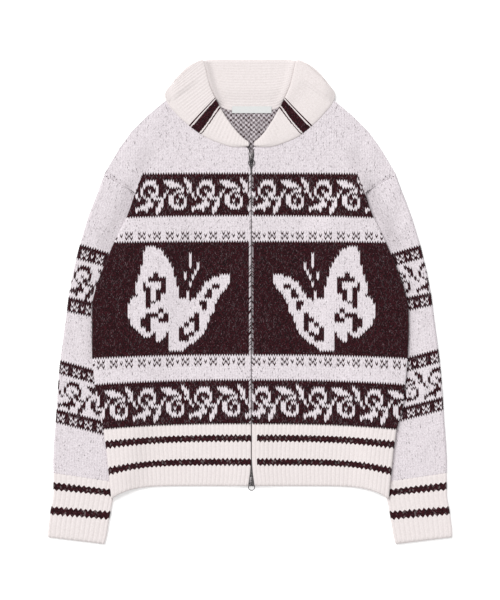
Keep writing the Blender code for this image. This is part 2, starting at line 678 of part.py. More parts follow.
def slider(name, start_y, post_at_top, guides):
    """A slider: two plates joined by a post between the parting teeth, and a bail on top."""
    half, half_post = SLIDER_WIDTH / 2, POST_WIDTH / 2
    end_y = start_y + SLIDER_LENGTH
    lower_top = SLIDER_LOW + SLIDER_PLATE
    body = block(name, (ZIP_X - half, start_y, SLIDER_UPPER_LOW), (ZIP_X + half, end_y, SLIDER_UPPER_TOP),
                 METAL, bevel=SLIDER_BEVEL)
    lower = block(name + "_lower", (ZIP_X - half, start_y, SLIDER_LOW), (ZIP_X + half, end_y, lower_top),
                  METAL, bevel=LOWER_BEVEL, collection=guides)
    post_y = end_y - POST_LENGTH - POST_INSET if post_at_top else start_y + POST_INSET
    post = block(name + "_post", (ZIP_X - half_post, post_y, lower_top - SUNK),
                 (ZIP_X + half_post, post_y + POST_LENGTH, SLIDER_UPPER_LOW + SUNK),
                 METAL, collection=guides)
    arch = bail(name + "_bail", start_y + BAIL_INSET, guides)
    for piece in (post, lower, arch):
        union = body.modifiers.new(piece.name, "BOOLEAN")
        union.operation = "UNION"
        union.object = piece
    return body


def pull_ring(name, slider_y):
    """A ring pull that lies flat, with its origin on the hinge line inside the bail."""
    hinge_y = slider_y + BAIL_INSET + BAIL_WIRE + RING_WIRE + RING_CLEAR
    bpy.ops.mesh.primitive_torus_add(
        major_segments=20, minor_segments=8, major_radius=RING_RADIUS * MM, minor_radius=RING_WIRE * MM)
    ring = bpy.context.object
    mesh = ring.data
    mesh.name = name
    mesh.transform(Matrix.Translation(Vector((0.0, -RING_RADIUS, 0.0)) * MM))
    bpy.data.objects.remove(ring)
    mesh.shade_smooth()
    made = add_object(name, mesh, METAL)
    made.location = Vector((ZIP_X, hinge_y, RING_Z)) * MM
    return made


def zip_pieces(guides):
    """The zip: two tapes, the closed chain, two sliders back to back and their rings."""
    half = CHAIN_WIDTH / 2
    tape_start = half + RING_CLEAR
    for name, side in (("zip_tape_left", -1), ("zip_tape_right", 1)):
        near, far = ZIP_X + side * tape_start, ZIP_X + side * (tape_start + TAPE_WIDTH)
        block(name, (min(near, far), ZIP_BOTTOM_Y, TAPE_LOW), (max(near, far), ZIP_TOP_Y, TAPE_TOP), TAPE)
    chain_low = BOTTOM_SLIDER_Y + POST_LENGTH + CHAIN_CLEAR
    chain_high = TOP_SLIDER_Y + SLIDER_LENGTH - POST_LENGTH - CHAIN_CLEAR
    block("zip_chain", (ZIP_X - half, chain_low, CHAIN_LOW), (ZIP_X + half, chain_high, CHAIN_TOP),
          METAL, bevel=CHAIN_BEVEL)
    slider("slider_top", TOP_SLIDER_Y, True, guides)
    slider("slider_bottom", BOTTOM_SLIDER_Y, False, guides)
    pull_ring("pull_ring_top", TOP_SLIDER_Y)
    pull_ring("pull_ring_bottom", BOTTOM_SLIDER_Y)


def neck_label():
    """The blank label on the back neck seam."""
    level = COLLAR_WALL + RIDGE_HEIGHT + LABEL_GAP
    low = (LABEL_X - LABEL_WIDTH / 2, LABEL_Y - LABEL_DEPTH / 2, level)
    high = (LABEL_X + LABEL_WIDTH / 2, LABEL_Y + LABEL_DEPTH / 2, level + LABEL_THICK)
    block("neck_label", low, high, LABEL)


def build():
    """Make every piece of the cardigan."""
    for obj in list(bpy.data.objects):
        bpy.data.objects.remove(obj)
    collection = bpy.data.collections.new("cowichan_cardigan")
    bpy.context.scene.collection.children.link(collection)
    guides = bpy.data.collections.new("guides")
    bpy.context.scene.collection.children.link(guides)
    back_wall("back_panel", ZIP_ROWS + BACK_NECK_ROWS, PANEL_COLUMNS, KNIT)
    back_wall("hem_back", HEM_ROWS, [step / HEM_STEPS for step in range(HEM_STEPS + 1)], RIB)
    for word, side in (("left", -1), ("right", 1)):
        front_panel("front_" + word, side)
        hem_front("hem_front_" + word, side)
        sleeve("sleeve_" + word, side)
        cuff("cuff_" + word, side)
        collar_leaf("collar_" + word, side)
    collar_back()
    neck_label()
    zip_pieces(guides)


build()
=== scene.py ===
"""The looks of a zip-up cowichan cardigan that lies flat on its back.

Every cloth piece is knitted in mesh code: a grid of stitches, each a V of two raised legs, laid over the
form of its solid. The colour of each stitch comes from charts. Sizes are in millimetres and become metres
in the mesh.
"""
import math
from collections import namedtuple

import bmesh
import bpy
import numpy as np
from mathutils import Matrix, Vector
from mathutils.bvhtree import BVHTree


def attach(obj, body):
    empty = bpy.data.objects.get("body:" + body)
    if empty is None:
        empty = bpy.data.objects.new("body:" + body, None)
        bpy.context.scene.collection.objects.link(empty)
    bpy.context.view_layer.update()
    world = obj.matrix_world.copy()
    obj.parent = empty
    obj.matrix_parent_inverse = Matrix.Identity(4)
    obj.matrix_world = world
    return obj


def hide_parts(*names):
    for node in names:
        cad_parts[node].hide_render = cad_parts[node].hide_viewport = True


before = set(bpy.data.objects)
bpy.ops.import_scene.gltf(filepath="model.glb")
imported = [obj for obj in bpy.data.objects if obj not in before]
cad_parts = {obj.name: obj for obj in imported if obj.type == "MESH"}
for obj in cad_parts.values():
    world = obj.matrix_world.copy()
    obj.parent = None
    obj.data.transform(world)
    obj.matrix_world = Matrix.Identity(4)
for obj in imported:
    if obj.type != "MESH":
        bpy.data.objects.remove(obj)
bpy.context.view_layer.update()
MM = 0.001

# ---- gauge ----
STITCH = 4.2              # width of a stitch
ROW = 4.07                # height of a row
SLANT = 1.15              # a stitch's legs rise by this share of a row
LEG_RISE = 1.0            # how far the legs stand out of the cloth
PURL_SLANT = 0.3          # how far the back's inner rows swing up and down
PURL_RISE = 0.35          # how far the back's inner loops stand out
HELD = 5.0                # nearer than this to a seam or fold the rows lie straight
FLAT = 1.5                # and nearer than this the stitches lie flat
WALL = 2.8
COLLAR_WALL = 2.6
RIB_RISE = 1.0
FRONT_STITCHES, BACK_STITCHES, SLEEVE_STITCHES = 62, 63, 36   # across a front, half the back, half a sleeve
PURL_FROM_ROW, PURL_REACH = 108, 26       # the part of the back whose inner side shows in the neck

# ---- how the cloth lies on its solids ----
FRONT_SINK, HEM_SINK = 0.5, 0.9           # the stitches' roots lie below the solid's top
PURL_SINK, HEM_BACK_SINK = 0.4, 0.2
SIDE_ROLL, SIDE_REACH = 1.5, 4.0          # the fronts roll down at the folded side
ZIP_ROLL, ZIP_REACH = 0.7, 3.0            # and beside the zip
BACK_ROLL = 0.8                           # the back rolls up at the folded side
END_DROP = 0.5                            # the last rib row rolls down
HEM_TOP_DROP = 1.2                        # the first rib row lies under the body's teeth
ARMHOLE_SLOPE, ARMHOLE_REACH = 1.8, 14.0  # the fronts slope down to the sleeves
EDGE_LIFT, EDGE_WOBBLE = 0.8, 0.9         # beside the zip the stitches stay raised, and a little out of line
LINING_SHARE = 0.3                        # the lining follows this share of the rolls

# ---- zip ----
ZIP_X = 2.5
ZIP_GAP = 0.6
FIRST_STITCH = 2.1        # the edge stitch reaches from here to the zip's gap
ZIP_GAP_AT_SLIDER = 4.8
GAP_BELOW_SLIDER = 2.9
CHAIN_BOTTOM, CHAIN_TOP = -298.0, 240.0
TOOTH_PITCH, TOOTH_LENGTH = 2.7, 1.25
TOOTH_NOSE, TOOTH_TAIL = 0.7, 2.8         # a tooth reaches past the zip's middle, and into its own side
TOOTH_Z = (4.4, 6.2)
TOP_SLIDER_Y, BOTTOM_SLIDER_Y = 230.5, -304.0
SLIDER_LENGTH, SLIDER_WIDTH = 15.5, 8.4
SLIDER_TAPER = 0.5        # of its width, lost at the narrow end
PLATES_Z = ((3.2, 4.0), (6.6, 7.8))
POST_LENGTH, POST_HALF, POST_Z = 4.0, 1.5, (3.5, 7.1)
POST_FROM_END = 0.6
ARCH_WIRE, ARCH_HALF, ARCH_Z, ARCH_RISE = 0.75, 4.3, 7.4, 5.0
ARCH_MIDDLE = 6.0         # from the slider's lower end
HINGE_ABOVE = 3.5         # the ring's hinge above the slider's lower end
RING_RADIUS, RING_WIRE, RING_Z = 5.0, 0.8, 10.6


def rows_of(kind, rows):
    """The rows of a table, with named columns."""
    return [kind(*row) for row in rows]


# ---- outline of one side, in the body's own rows from the rib seam up ----
PanelRow = namedtuple("PanelRow", "in_x in_y out_x out_y")
ZIP_ROWS = rows_of(PanelRow, [
    (ZIP_GAP, -200.5, 241.7, -209.1), (ZIP_GAP, -163.8, 252.1, -171.2), (ZIP_GAP, -126.3, 255.8, -134.0),
    (ZIP_GAP, -86.2, 259.9, -92.0), (ZIP_GAP, -46.6, 261.5, -49.9), (ZIP_GAP, -3.7, 261.2, -6.2),
    (ZIP_GAP, 30.9, 252.4, 28.5), (ZIP_GAP, 65.6, 238.9, 63.9), (ZIP_GAP, 98.6, 224.1, 96.9),
    (ZIP_GAP, 120.1, 214.2, 118.9), (ZIP_GAP, 142.0, 203.4, 138.5), (ZIP_GAP, 162.9, 195.5, 159.6),
    (ZIP_GAP, 182.8, 189.8, 180.3), (ZIP_GAP, 191.5, 206.9, 189.9), (ZIP_GAP, 201.0, 223.9, 199.6),
    (ZIP_GAP, 211.0, 241.0, 209.2), (GAP_BELOW_SLIDER, 228.0, 230.2, 227.3),
    (ZIP_GAP_AT_SLIDER, 243.0, 220.7, 243.3), (3.4, 252.7, 214.5, 253.7),
])
NECK_ROWS = rows_of(PanelRow, [
    (33.0, 272.7, 194.7, 280.9), (58.6, 300.7, 171.6, 304.0), (71.8, 324.6, 145.2, 326.3),
    (79.2, 346.1, 115.5, 349.4), (83.5, 364.0, 93.0, 366.2),
])
BACK_NECK_ROWS = rows_of(PanelRow, [
    (0.0, 272.7, 194.7, 280.9), (0.0, 300.7, 171.6, 304.0), (0.0, 314.0, 145.2, 326.3),
    (35.0, 315.5, 137.0, 332.7), (55.0, 324.4, 126.0, 341.2), (70.0, 341.0, 115.5, 349.4),
    (80.0, 356.0, 102.5, 359.2), (84.5, 364.5, 92.0, 366.5),
])
FRONT_ROWS, BACK_ROWS = ZIP_ROWS + NECK_ROWS, ZIP_ROWS + BACK_NECK_ROWS
ROW_BEND = 2.5
ZIP_END_Y = 252.7         # above this height the inner edge is the neck
SIDE_SEAM_TOP = 182.8     # above this row the outer edge is the armhole

# The hem rib from its seam down, and how sharply its rows curve down at the side.
HemRow = namedtuple("HemRow", "in_x in_y out_x out_y bend")
HEM_ROWS = rows_of(HemRow, [
    (ZIP_GAP, -201.0, 241.6, -209.6, 2.5), (ZIP_GAP, -234.7, 236.3, -246.2, 3.0),
    (ZIP_GAP, -262.0, 233.2, -277.0, 4.0), (0.7 * GAP_BELOW_SLIDER, -282.0, 230.8, -299.5, 6.0),
    (ZIP_GAP_AT_SLIDER, -303.6, 228.5, -325.4, 8.0),
])
HEM_RIBS = 33
TOOTH_ROOT, TOOTH_DEPTH = 2.4, 4.4        # the body's lowest stitches reach down over the rib in teeth
TOOTH_RISE = 0.9
HEM_TOP_RISE = 2.7                        # the rib's first row reaches up under them
HEM_ROW_COUNT = 27

# A sleeve from the armhole down: its outer and inner folds.
SleeveRow = namedtuple("SleeveRow", "outer_x outer_y mid_x mid_y inner_x inner_y")
SLEEVE_ROWS = rows_of(SleeveRow, [
    (240.9, 209.3, 189.7, 180.4, 141.8, 131.7), (250.0, 184.4, 191.2, 154.8, 138.6, 115.1),
    (259.1, 161.3, 197.5, 134.9, 138.6, 103.6), (268.1, 136.6, 203.4, 114.4, 139.4, 90.4),
    (275.6, 111.8, 208.7, 94.5, 141.9, 77.1), (283.0, 87.1, 213.2, 73.0, 143.5, 59.0),
    (292.1, 49.1, 220.3, 37.6, 148.5, 26.0), (299.5, 9.5, 228.1, 0.5, 156.8, -8.6),
    (304.4, -30.1, 235.5, -40.0, 166.6, -49.9), (309.4, -66.4, 243.0, -78.4, 176.5, -90.3),
    (314.3, -106.0, 249.5, -119.2, 184.8, -132.4), (317.6, -145.6, 255.8, -157.2, 193.9, -168.7),
    (320.1, -188.5, 261.1, -198.4, 202.1, -208.3), (323.4, -231.4, 266.5, -240.4, 209.5, -249.5),
    (325.0, -264.4, 270.1, -272.6, 215.3, -280.9), (324.6, -282.5, 272.0, -290.4, 219.4, -298.2),
])
CUFF_ROWS = rows_of(SleeveRow, [
    (324.6, -281.9, 272.0, -289.7, 219.4, -297.6), (325.0, -320.5, 275.5, -324.6, 226.0, -328.8),
    (330.0, -346.9, 280.5, -351.0, 231.0, -355.1), (333.3, -373.3, 284.2, -377.4, 235.1, -381.5),
    (333.8, -388.1, 286.5, -393.8, 239.2, -399.6),
])
SLEEVE_HEIGHT = 7.2
CUFF_RIBS = 13
CUFF_ROW_COUNT = 26
ROW_TILT = 0.09           # sleeve rows run down a little more than the sleeve's own rings
TILT_FADE = 10.0          # rows over which the tilt dies out at the ends

# The collar's leaf from the zip up: the roll line, the leaf's free edge, and the neck seam that it hides.
LeafRow = namedtuple("LeafRow", "roll_x roll_y edge_x edge_y neck_x neck_y")
LEAF_ROWS = rows_of(LeafRow, [
    (4.6, 263.6, 4.4, 256.4, 6.2, 257.6), (13.2, 270.2, 15.7, 254.9, 17.1, 262.9),
    (23.9, 281.8, 33.0, 255.3, 32.0, 273.7), (34.6, 296.6, 51.1, 260.6, 45.4, 287.6),
    (44.5, 312.3, 69.3, 267.7, 57.2, 301.7), (52.0, 326.3, 83.3, 275.8, 65.2, 315.8),
    (56.9, 335.7, 100.6, 289.2, 70.4, 325.2), (61.0, 344.4, 113.8, 300.7, 74.4, 335.0),
    (65.7, 356.0, 123.8, 311.4, 77.7, 346.6), (69.6, 370.8, 133.7, 323.0, 80.0, 360.0),
    (73.0, 385.7, 139.8, 336.2, 82.5, 372.0), (77.5, 398.0, 138.6, 347.0, 86.0, 380.0),
    (87.0, 396.0, 127.5, 361.0, 94.0, 381.0),
])
LEAF_RIDGES = 33
LEAF_KNIT_ROWS = 16.0     # rows of knitting round a leaf, from its seam to its free edge
LEAF_GAP = 0.8
LEAF_CROWN = 0.5
# The leaf's last stretch settles on the fronts: a share of its width, and its height above them.
LEAF_SETTLES = ((0.9, 2.4), (0.95, 2.0), (0.985, 1.2), (1.0, -0.4))
STAND_LOW = 4.4
ROLL_BEND = 2.9
FOLD_ROOM = 0.2
RIDGE_RISE, RIDGE_SINK = 0.4, 0.3
V_Y, V_FADE = 256.0, 60.0
ZIP_RISE, ZIP_RISE_REACH, ZIP_RISE_FADE = 2.2, 20.0, 28.0
SEAM_LIFT, SEAM_LIFT_FADE = 2.5, 14.0     # the leaves' stands climb over the back's neck seam

# The collar behind the neck: its fold at the top and side, and the seam to the back.
BackCollarRow = namedtuple("BackCollarRow", "fold_x fold_y seam_x seam_y")
BACK_COLLAR_ROWS = rows_of(BackCollarRow, [
    (0.0, 399.2, 0.0, 314.6), (38.0, 399.6, 35.0, 316.1), (60.0, 399.2, 55.0, 325.1),
    (78.0, 397.6, 70.0, 341.9), (95.0, 392.8, 84.5, 366.2), (112.0, 380.0, 93.5, 368.0),
    (128.0, 361.5, 103.5, 360.5), (137.5, 347.0, 127.0, 343.0),
])
STAND_RIDGES = 18
STAND_COLUMNS, STAND_STITCHES = 85, 60.0
# Shares of the way from the stand's fold to its seam: where its walls start down, and where they lie flat.
STAND_SLOPE, STAND_RAMP, STAND_TURN, STAND_FLAT = 0.55, 0.765, 0.835, 0.9
ROLL_REACH = 13.0         # the stand rises to the leaves' rolls from here
ROLL_RISE = {-1: 5.6, 1: 3.6}             # how far it rises, by side
ROLL_FROM_Y, ROLL_FADE = 322.0, 14.0
ROLL_CREASE_SHADE = 0.1         # painted shade: how much darker the wool is painted where the stand meets the rolls

# ---- where the knitted bands lie ----
Mark = namedtuple("Mark", "row y")
BODY_MARKS = [Mark(0, -200.5), Mark(1, -199.6), Mark(19, -128.5), Mark(29, -87.9), Mark(77, 99.8),
              Mark(88, 141.6), Mark(106, 212.0), Mark(145, 364.0)]
LOWER_ROSES, UPPER_ROSES = 1, 88          # the first rows of the two rose bands
LOWER_CROSSES, UPPER_CROSSES = 25, 78
PANEL_ROWS = (29, 77)                     # the dark panel with the butterflies
NECK_ROW = 116                            # the first row that is cut by the neck
ARMHOLE_ROW, SHOULDER_ROW = 97, 106       # the armhole seam lies between these rows
HEM_MARKS = [Mark(0, -201.0), Mark(5, -219.7), Mark(8, -229.9), Mark(15, -259.0), Mark(18, -269.2),
             Mark(27, -303.6)]
HEM_STRIPES = (5, 6, 7, 15, 16, 17)
HEM_STRIPE_START = {-1: 0.0, 1: 11.0}     # the strip beside the zip stays white on one side
CUFF_MARKS = [Mark(0, -281.9), Mark(4, -298.0), Mark(7, -309.5), Mark(14, -338.0), Mark(17, -350.0),
              Mark(26, -388.1)]
CUFF_STRIPES = (4, 5, 6, 14, 15, 16)
SleeveBands = namedtuple("SleeveBands", "lower upper marks turn")
SLEEVE_BANDS = {
    -1: SleeveBands(21, 70, [Mark(0, -282.5), Mark(21, -198.4), Mark(49, -96.1), Mark(70, -15.3),
                             Mark(98, 95.3), Mark(127, 209.3)], 1),
    1: SleeveBands(27, 74, [Mark(0, -282.5), Mark(27, -177.8), Mark(55, -77.9), Mark(74, -5.4),
                            Mark(102, 93.7), Mark(131, 209.3)], -1),
}
CHECK_ROWS = 6                            # a dark band of crosses on a sleeve
SLEEVE_ROSE_ROWS = 16

# Two roses, one turned over, with their leaves and stems: one repeat of the band, # for the roses' yarn.
ROSES = [
    "......................",
    "......................",
    "................#.....",
    ".####...####....##....",
    "#####....#####...##...",
    "#...##....#####..##...",
    ".....#.........#..#..#",
    "..#..#...#...###.##..#",
    "...###..#...#......#.#",
    "#..##...#.##..##...#..",
    ".##.####..##....#...#.",
    "..#....#..##.#..#.....",
    ".###..##..##....#.....",
    "####..##...###.##....#",
    "##...##.....####...###",
    ".#...##............#..",
    ".....#................",
    "......................",
]
CROSSES = [
    "#.#...#.#..",
    ".#..#..#...",
    "#.#...#.#..",
]


# ---- lines and curves ----

def read_line(places, value):
    """A line through some places, read at a value of their first number."""
    firsts, seconds = zip(*places)
    return np.interp(value, firsts, seconds)


def read_table(rows, key, value):
    """The columns of a table, read at a value of one of them."""
    table = {name: np.array(column) for name, column in zip(rows[0]._fields, zip(*rows))}
    order = np.argsort(table[key])
    return {name: np.interp(value, table[key][order], column[order]) for name, column in table.items()}


def through(p0, p1, p2, p3, part):
    """A point on a smooth curve, a part of the way from the second of four points to the third."""
    return 0.5 * (2 * p1 + (p2 - p0) * part + (2 * p0 - 5 * p1 + 4 * p2 - p3) * part ** 2
                  + (3 * p1 - p0 - 3 * p2 + p3) * part ** 3)


def curve_table(rows, share):
    """The columns of a table on a smooth curve through its rows."""
    table = np.array(rows, dtype=float)
    place = np.clip(share, 0.0, 1.0) * (len(rows) - 1)
    start = np.minimum(place.astype(int), len(rows) - 2)
    near = [table[np.clip(start + step, 0, len(rows) - 1)] for step in (-1, 0, 1, 2)]
    values = through(*near, (place - start)[..., None])
    return {name: values[..., k] for k, name in enumerate(rows[0]._fields)}


def closed_curve(points, per_point=8):
    """A smooth closed line through some points."""
    loop = np.array(points, dtype=float)
    near = [np.roll(loop, shift, axis=0)[:, None] for shift in (1, 0, -1, -2)]
    part = (np.arange(per_point) / per_point)[None, :, None]
    return through(*near, part).reshape(-1, 2)


def smooth(share):
    """Rise softly from 0 to 1 as share does."""
    share = np.clip(share, 0.0, 1.0)
    return share * share * (3.0 - 2.0 * share)


def rolled(away, reach):
    """1 at an edge, and 0 from a reach away from it on, as cloth rolls over."""
    return (1.0 - np.clip(away / reach, 0.0, 1.0)) ** 2


def chance(col, row):
    """A number from 0 to 1 for each place in a grid, the same each run."""
    return (np.sin(col * 12.9898 + row * 78.233) * 43758.5453) % 1.0


class Ground:
    """The upper or lower side of some solids as one soft surface, without their facets."""

    STEP = 4.0
    REACH_X, REACH_Y = 348.0, 412.0

    def __init__(self, names, above=True, blurs=3):
        points, faces = [], []
        for name in names:
            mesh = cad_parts[name].data
            faces += [tuple(index + len(points) for index in face.vertices) for face in mesh.polygons]
            points += [vert.co.copy() for vert in mesh.vertices]
        tree = BVHTree.FromPolygons(points, faces)
        self.xs = np.arange(-self.REACH_X, self.REACH_X + 1.0, self.STEP)
        self.ys = np.arange(-self.REACH_Y, self.REACH_Y + 1.0, self.STEP)
        start, down = (0.1, -1.0) if above else (-0.1, 1.0)
        grid = np.full((len(self.ys), len(self.xs)), np.nan)
        for k, y in enumerate(self.ys):
            for j, x in enumerate(self.xs):
                hit = tree.ray_cast(Vector((x * MM, y * MM, start)), Vector((0.0, 0.0, down)))[0]
                if hit:
                    grid[k, j] = hit.z / MM
        self.grid = self.spread(grid)
        for _ in range(blurs):
            self.grid = sum(self.shifted(self.grid)) / 9.0

    @staticmethod
    def shifted(grid):
        """The grid moved one step each way, its edges repeated."""
        wide = np.pad(grid, 1, mode="edge")
        rows, cols = grid.shape
        return [wide[k:k + rows, j:j + cols] for k in range(3) for j in range(3)]

    def spread(self, grid):
        """Give each place with no solid the height of those beside it."""
        while np.isnan(grid).any():
            near = np.stack(self.shifted(grid))
            known = ~np.isnan(near)
            count = known.sum(axis=0)
            mean = np.where(known, near, 0.0).sum(axis=0) / np.maximum(count, 1)
            grid = np.where(np.isnan(grid) & (count > 0), mean, grid)
        return grid

    def at(self, x, y):
        """The surface's height at some places."""
        across = np.clip((x + self.REACH_X) / self.STEP, 0, len(self.xs) - 1.001)
        up = np.clip((y + self.REACH_Y) / self.STEP, 0, len(self.ys) - 1.001)
        j, k = across.astype(int), up.astype(int)
        s, t = across - j, up - k
        grid = self.grid
        low = grid[k, j] * (1 - s) + grid[k, j + 1] * s
        high = grid[k + 1, j] * (1 - s) + grid[k + 1, j + 1] * s
        return low * (1 - t) + high * t


# ---- charts: 1 is the dark yarn, 0 the white ----

def inside(points, col, row):
    """Which stitches have their middle inside a smooth closed line."""
    line = closed_curve(points)
    found = np.zeros(col.shape, dtype=bool)
    for (ax, ay), (bx, by) in zip(line, np.roll(line, -1, axis=0)):
        crosses = (ay > row) != (by > row)
        rise = by - ay if by != ay else 1.0
        found ^= crosses & (col < ax + (row - ay) * (bx - ax) / rise)
    return found


# A butterfly seen from the side, in stitches from its own top left corner.
BUTTERFLY_SIZE = (40, 44)
WINGS = [
    [(19.8, 22.3), (18.9, 15.5), (17.8, 10.1), (15.6, 5.6), (12.4, 1.2), (9.6, 0.3), (6.9, 1.0), (5.8, 5.6),
     (5.2, 10.6), (4.0, 13.4), (3.3, 19.6), (8.0, 26.0)],
    [(17.0, 22.0), (9.0, 19.6), (3.4, 20.6), (0.8, 23.4), (0.3, 28.4), (2.0, 33.4), (6.2, 37.4), (8.9, 37.6),
     (10.6, 35.8), (11.2, 40.0), (13.2, 39.4), (15.2, 36.4), (16.6, 32.0)],
    [(19.6, 22.4), (25.4, 22.4), (28.4, 18.8), (30.4, 15.4), (34.6, 13.0), (39.2, 11.6), (39.8, 15.8),
     (36.4, 20.6), (34.4, 24.4), (31.8, 29.4), (20.6, 30.0)],
    [(19.4, 26.0), (27.0, 26.0), (31.8, 29.0), (31.0, 33.6), (28.8, 37.6), (24.6, 41.4), (21.4, 42.6),
     (18.6, 38.0)],
]
BUTTERFLY_BODY = [(16.2, 21.4), (19.4, 21.8), (22.4, 23.4), (21.2, 27.0), (20.0, 34.0), (21.6, 43.4),
                  (18.8, 44.2), (16.2, 43.4), (15.8, 32.0)]

# Blocks of stitches, each with its left, top, right and bottom: the wings' dark marks and the white feelers.
WING_MARKS = [
    (10, 11, 12, 13), (8, 13, 15, 15), (13, 15, 15, 20), (11, 18, 13, 23), (6, 15, 7, 19), (7, 17, 9, 26),
    (9, 23, 11, 24), (7, 28, 12, 30), (5, 30, 9, 34), (7, 34, 9, 36), (12, 26, 14, 28), (14, 28, 16, 32),
    (12, 30, 14, 32), (33, 16, 36, 18), (31, 18, 33, 21), (30, 20, 33, 22), (28, 23, 31, 25),
    (29, 25, 31, 27), (26, 28, 28, 30), (24, 30, 28, 32), (26, 32, 28, 36), (22, 32, 24, 34),
    (20, 34, 22, 40), (22, 37, 24, 40), (24, 36, 26, 38),
]
FEELERS = [
    (24, 3, 25, 9), (22, 11, 23, 14), (27, 7, 28, 10), (26, 10, 27, 12), (25, 12, 26, 14), (24, 15, 25, 17),
    (23, 19, 24, 22),
]


def butterfly_chart():
    """A white butterfly on dark: wings and body, marked with dark cells."""
    width, height = BUTTERFLY_SIZE
    row, col = np.mgrid[0:height, 0:width] + 0.5
    white = np.zeros((height, width), dtype=bool)
    for outline in WINGS:
        white |= inside(outline, col, row)
    white |= inside(BUTTERFLY_BODY, col, row)
    for blocks, is_white in ((WING_MARKS, False), (FEELERS, True)):
        for left, top, right, bottom in blocks:
            white[top:bottom, left:right] = is_white
    return white


def read_chart(chart):
    """A chart as an array, its bottom row first."""
    return np.array([[sign == "#" for sign in line] for line in reversed(chart)])


ROSE = read_chart(ROSES)
CROSS = read_chart(CROSSES)
BUTTERFLY = butterfly_chart()
BUTTERFLY_TOP_ROW = 74
BUTTERFLY_FROM_ZIP = 48


def repeat(chart, col, row):
    """A chart's stitches, repeated along the row, and none above or below it."""
    rows, cols = chart.shape
    return chart[np.clip(row, 0, rows - 1), col % cols] & (row >= 0) & (row < rows)


def body_chart(side, col, row):
    """The yarn of the body's stitches, with columns counted from the zip on each side. The roses run on
    across the zip, so the two sides start them at different stitches."""
    turned = np.where(side > 0, col - 1, -col - 2)
    crossed = np.where(side > 0, col, col - 2)
    dark = repeat(CROSS, crossed, row - LOWER_CROSSES) | repeat(CROSS, crossed, row - UPPER_CROSSES)
    for first, shift in ((LOWER_ROSES, 0), (UPPER_ROSES, 2 if side > 0 else 1)):
        dark |= (row >= first) & (row < first + len(ROSE)) & ~repeat(ROSE, turned - shift, row - first)
    across = BUTTERFLY_FROM_ZIP - 1 - np.where(col < 0, -1 - col, col)
    down = BUTTERFLY_TOP_ROW - row
    width, height = BUTTERFLY_SIZE
    on_it = (across >= 0) & (across < width) & (down >= 0) & (down < height)
    wing = BUTTERFLY[np.clip(down, 0, height - 1), np.clip(across, 0, width - 1)] & on_it
    dark |= ~wing & on_panel(row)
    dark |= row == 0
    return dark.astype(float)


def on_panel(row):
    """Which rows belong to the dark panel."""
    return (row >= PANEL_ROWS[0]) & (row < PANEL_ROWS[1])


def sleeve_chart(col, row, bands):
    """The yarn of a sleeve's stitches: dark roses on white between dark bands of white crosses."""
    dark = np.zeros(col.shape, dtype=bool)
    for first, shift, cross_shift in ((bands.lower, 4, 6), (bands.upper, 2, 2)):
        for start in (first, first + CHECK_ROWS + SLEEVE_ROSE_ROWS):
            cross = repeat(CROSS, col - cross_shift, row - start - 1)
            dark |= (row >= start) & (row < start + CHECK_ROWS) & ~cross
        rose_row = row - first - CHECK_ROWS
        rose = repeat(ROSE, bands.turn * (col - shift), rose_row + 1)
        dark |= rose & (rose_row >= 0) & (rose_row < SLEEVE_ROSE_ROWS)
    return dark.astype(float)


def brush(yarn, patterned):
    """Brushed stitches: fibres of the one yarn that lie over the other, most where the colours change."""
    row, col = np.mgrid[0:yarn.shape[0], 0:yarn.shape[1]].astype(float)
    fine, soft = chance(col, row), chance(np.floor(col / 2.0), row + 31.0)
    specks = 0.5 * (fine > 0.985) + 0.22 * (fine > 0.92) + 0.05 * soft
    hairs = np.where(patterned, 0.1, 0.05) * (soft > 0.92)
    return np.where(yarn > 0.5, yarn - hairs, yarn + specks)


# ---- knitting ----

# A grid of points with the yarn of its faces, and where its lines lie across and along the knitting.
Skin = namedtuple("Skin", "points yarn across along")


def skin_at(x, y, z, yarn, across, along):
    """A skin from the three coordinates of its points."""
    return Skin(np.stack([x, y, z], axis=-1), yarn, across, along)


def lace(chain_a, chain_b, at_a, at_b, shades):
    """Triangles between two level chains of points, with the yarn of the first chain's stitches."""
    at_a = (at_a - at_a[0]) / (at_a[-1] - at_a[0])
    at_b = (at_b - at_b[0]) / (at_b[-1] - at_b[0])
    faces, yarn = [], []
    a = b = 0
    last_a, last_b = len(chain_a) - 1, len(chain_b) - 1
    while a < last_a or b < last_b:
        yarn.append(shades[min(a, last_a - 1)])
        if b == last_b or (a < last_a and at_a[a + 1] <= at_b[b + 1]):
            faces.append((chain_a[a], chain_a[a + 1], chain_b[b]))
            a += 1
        else:
            faces.append((chain_a[a], chain_b[b + 1], chain_b[b]))
            b += 1
    return faces, yarn


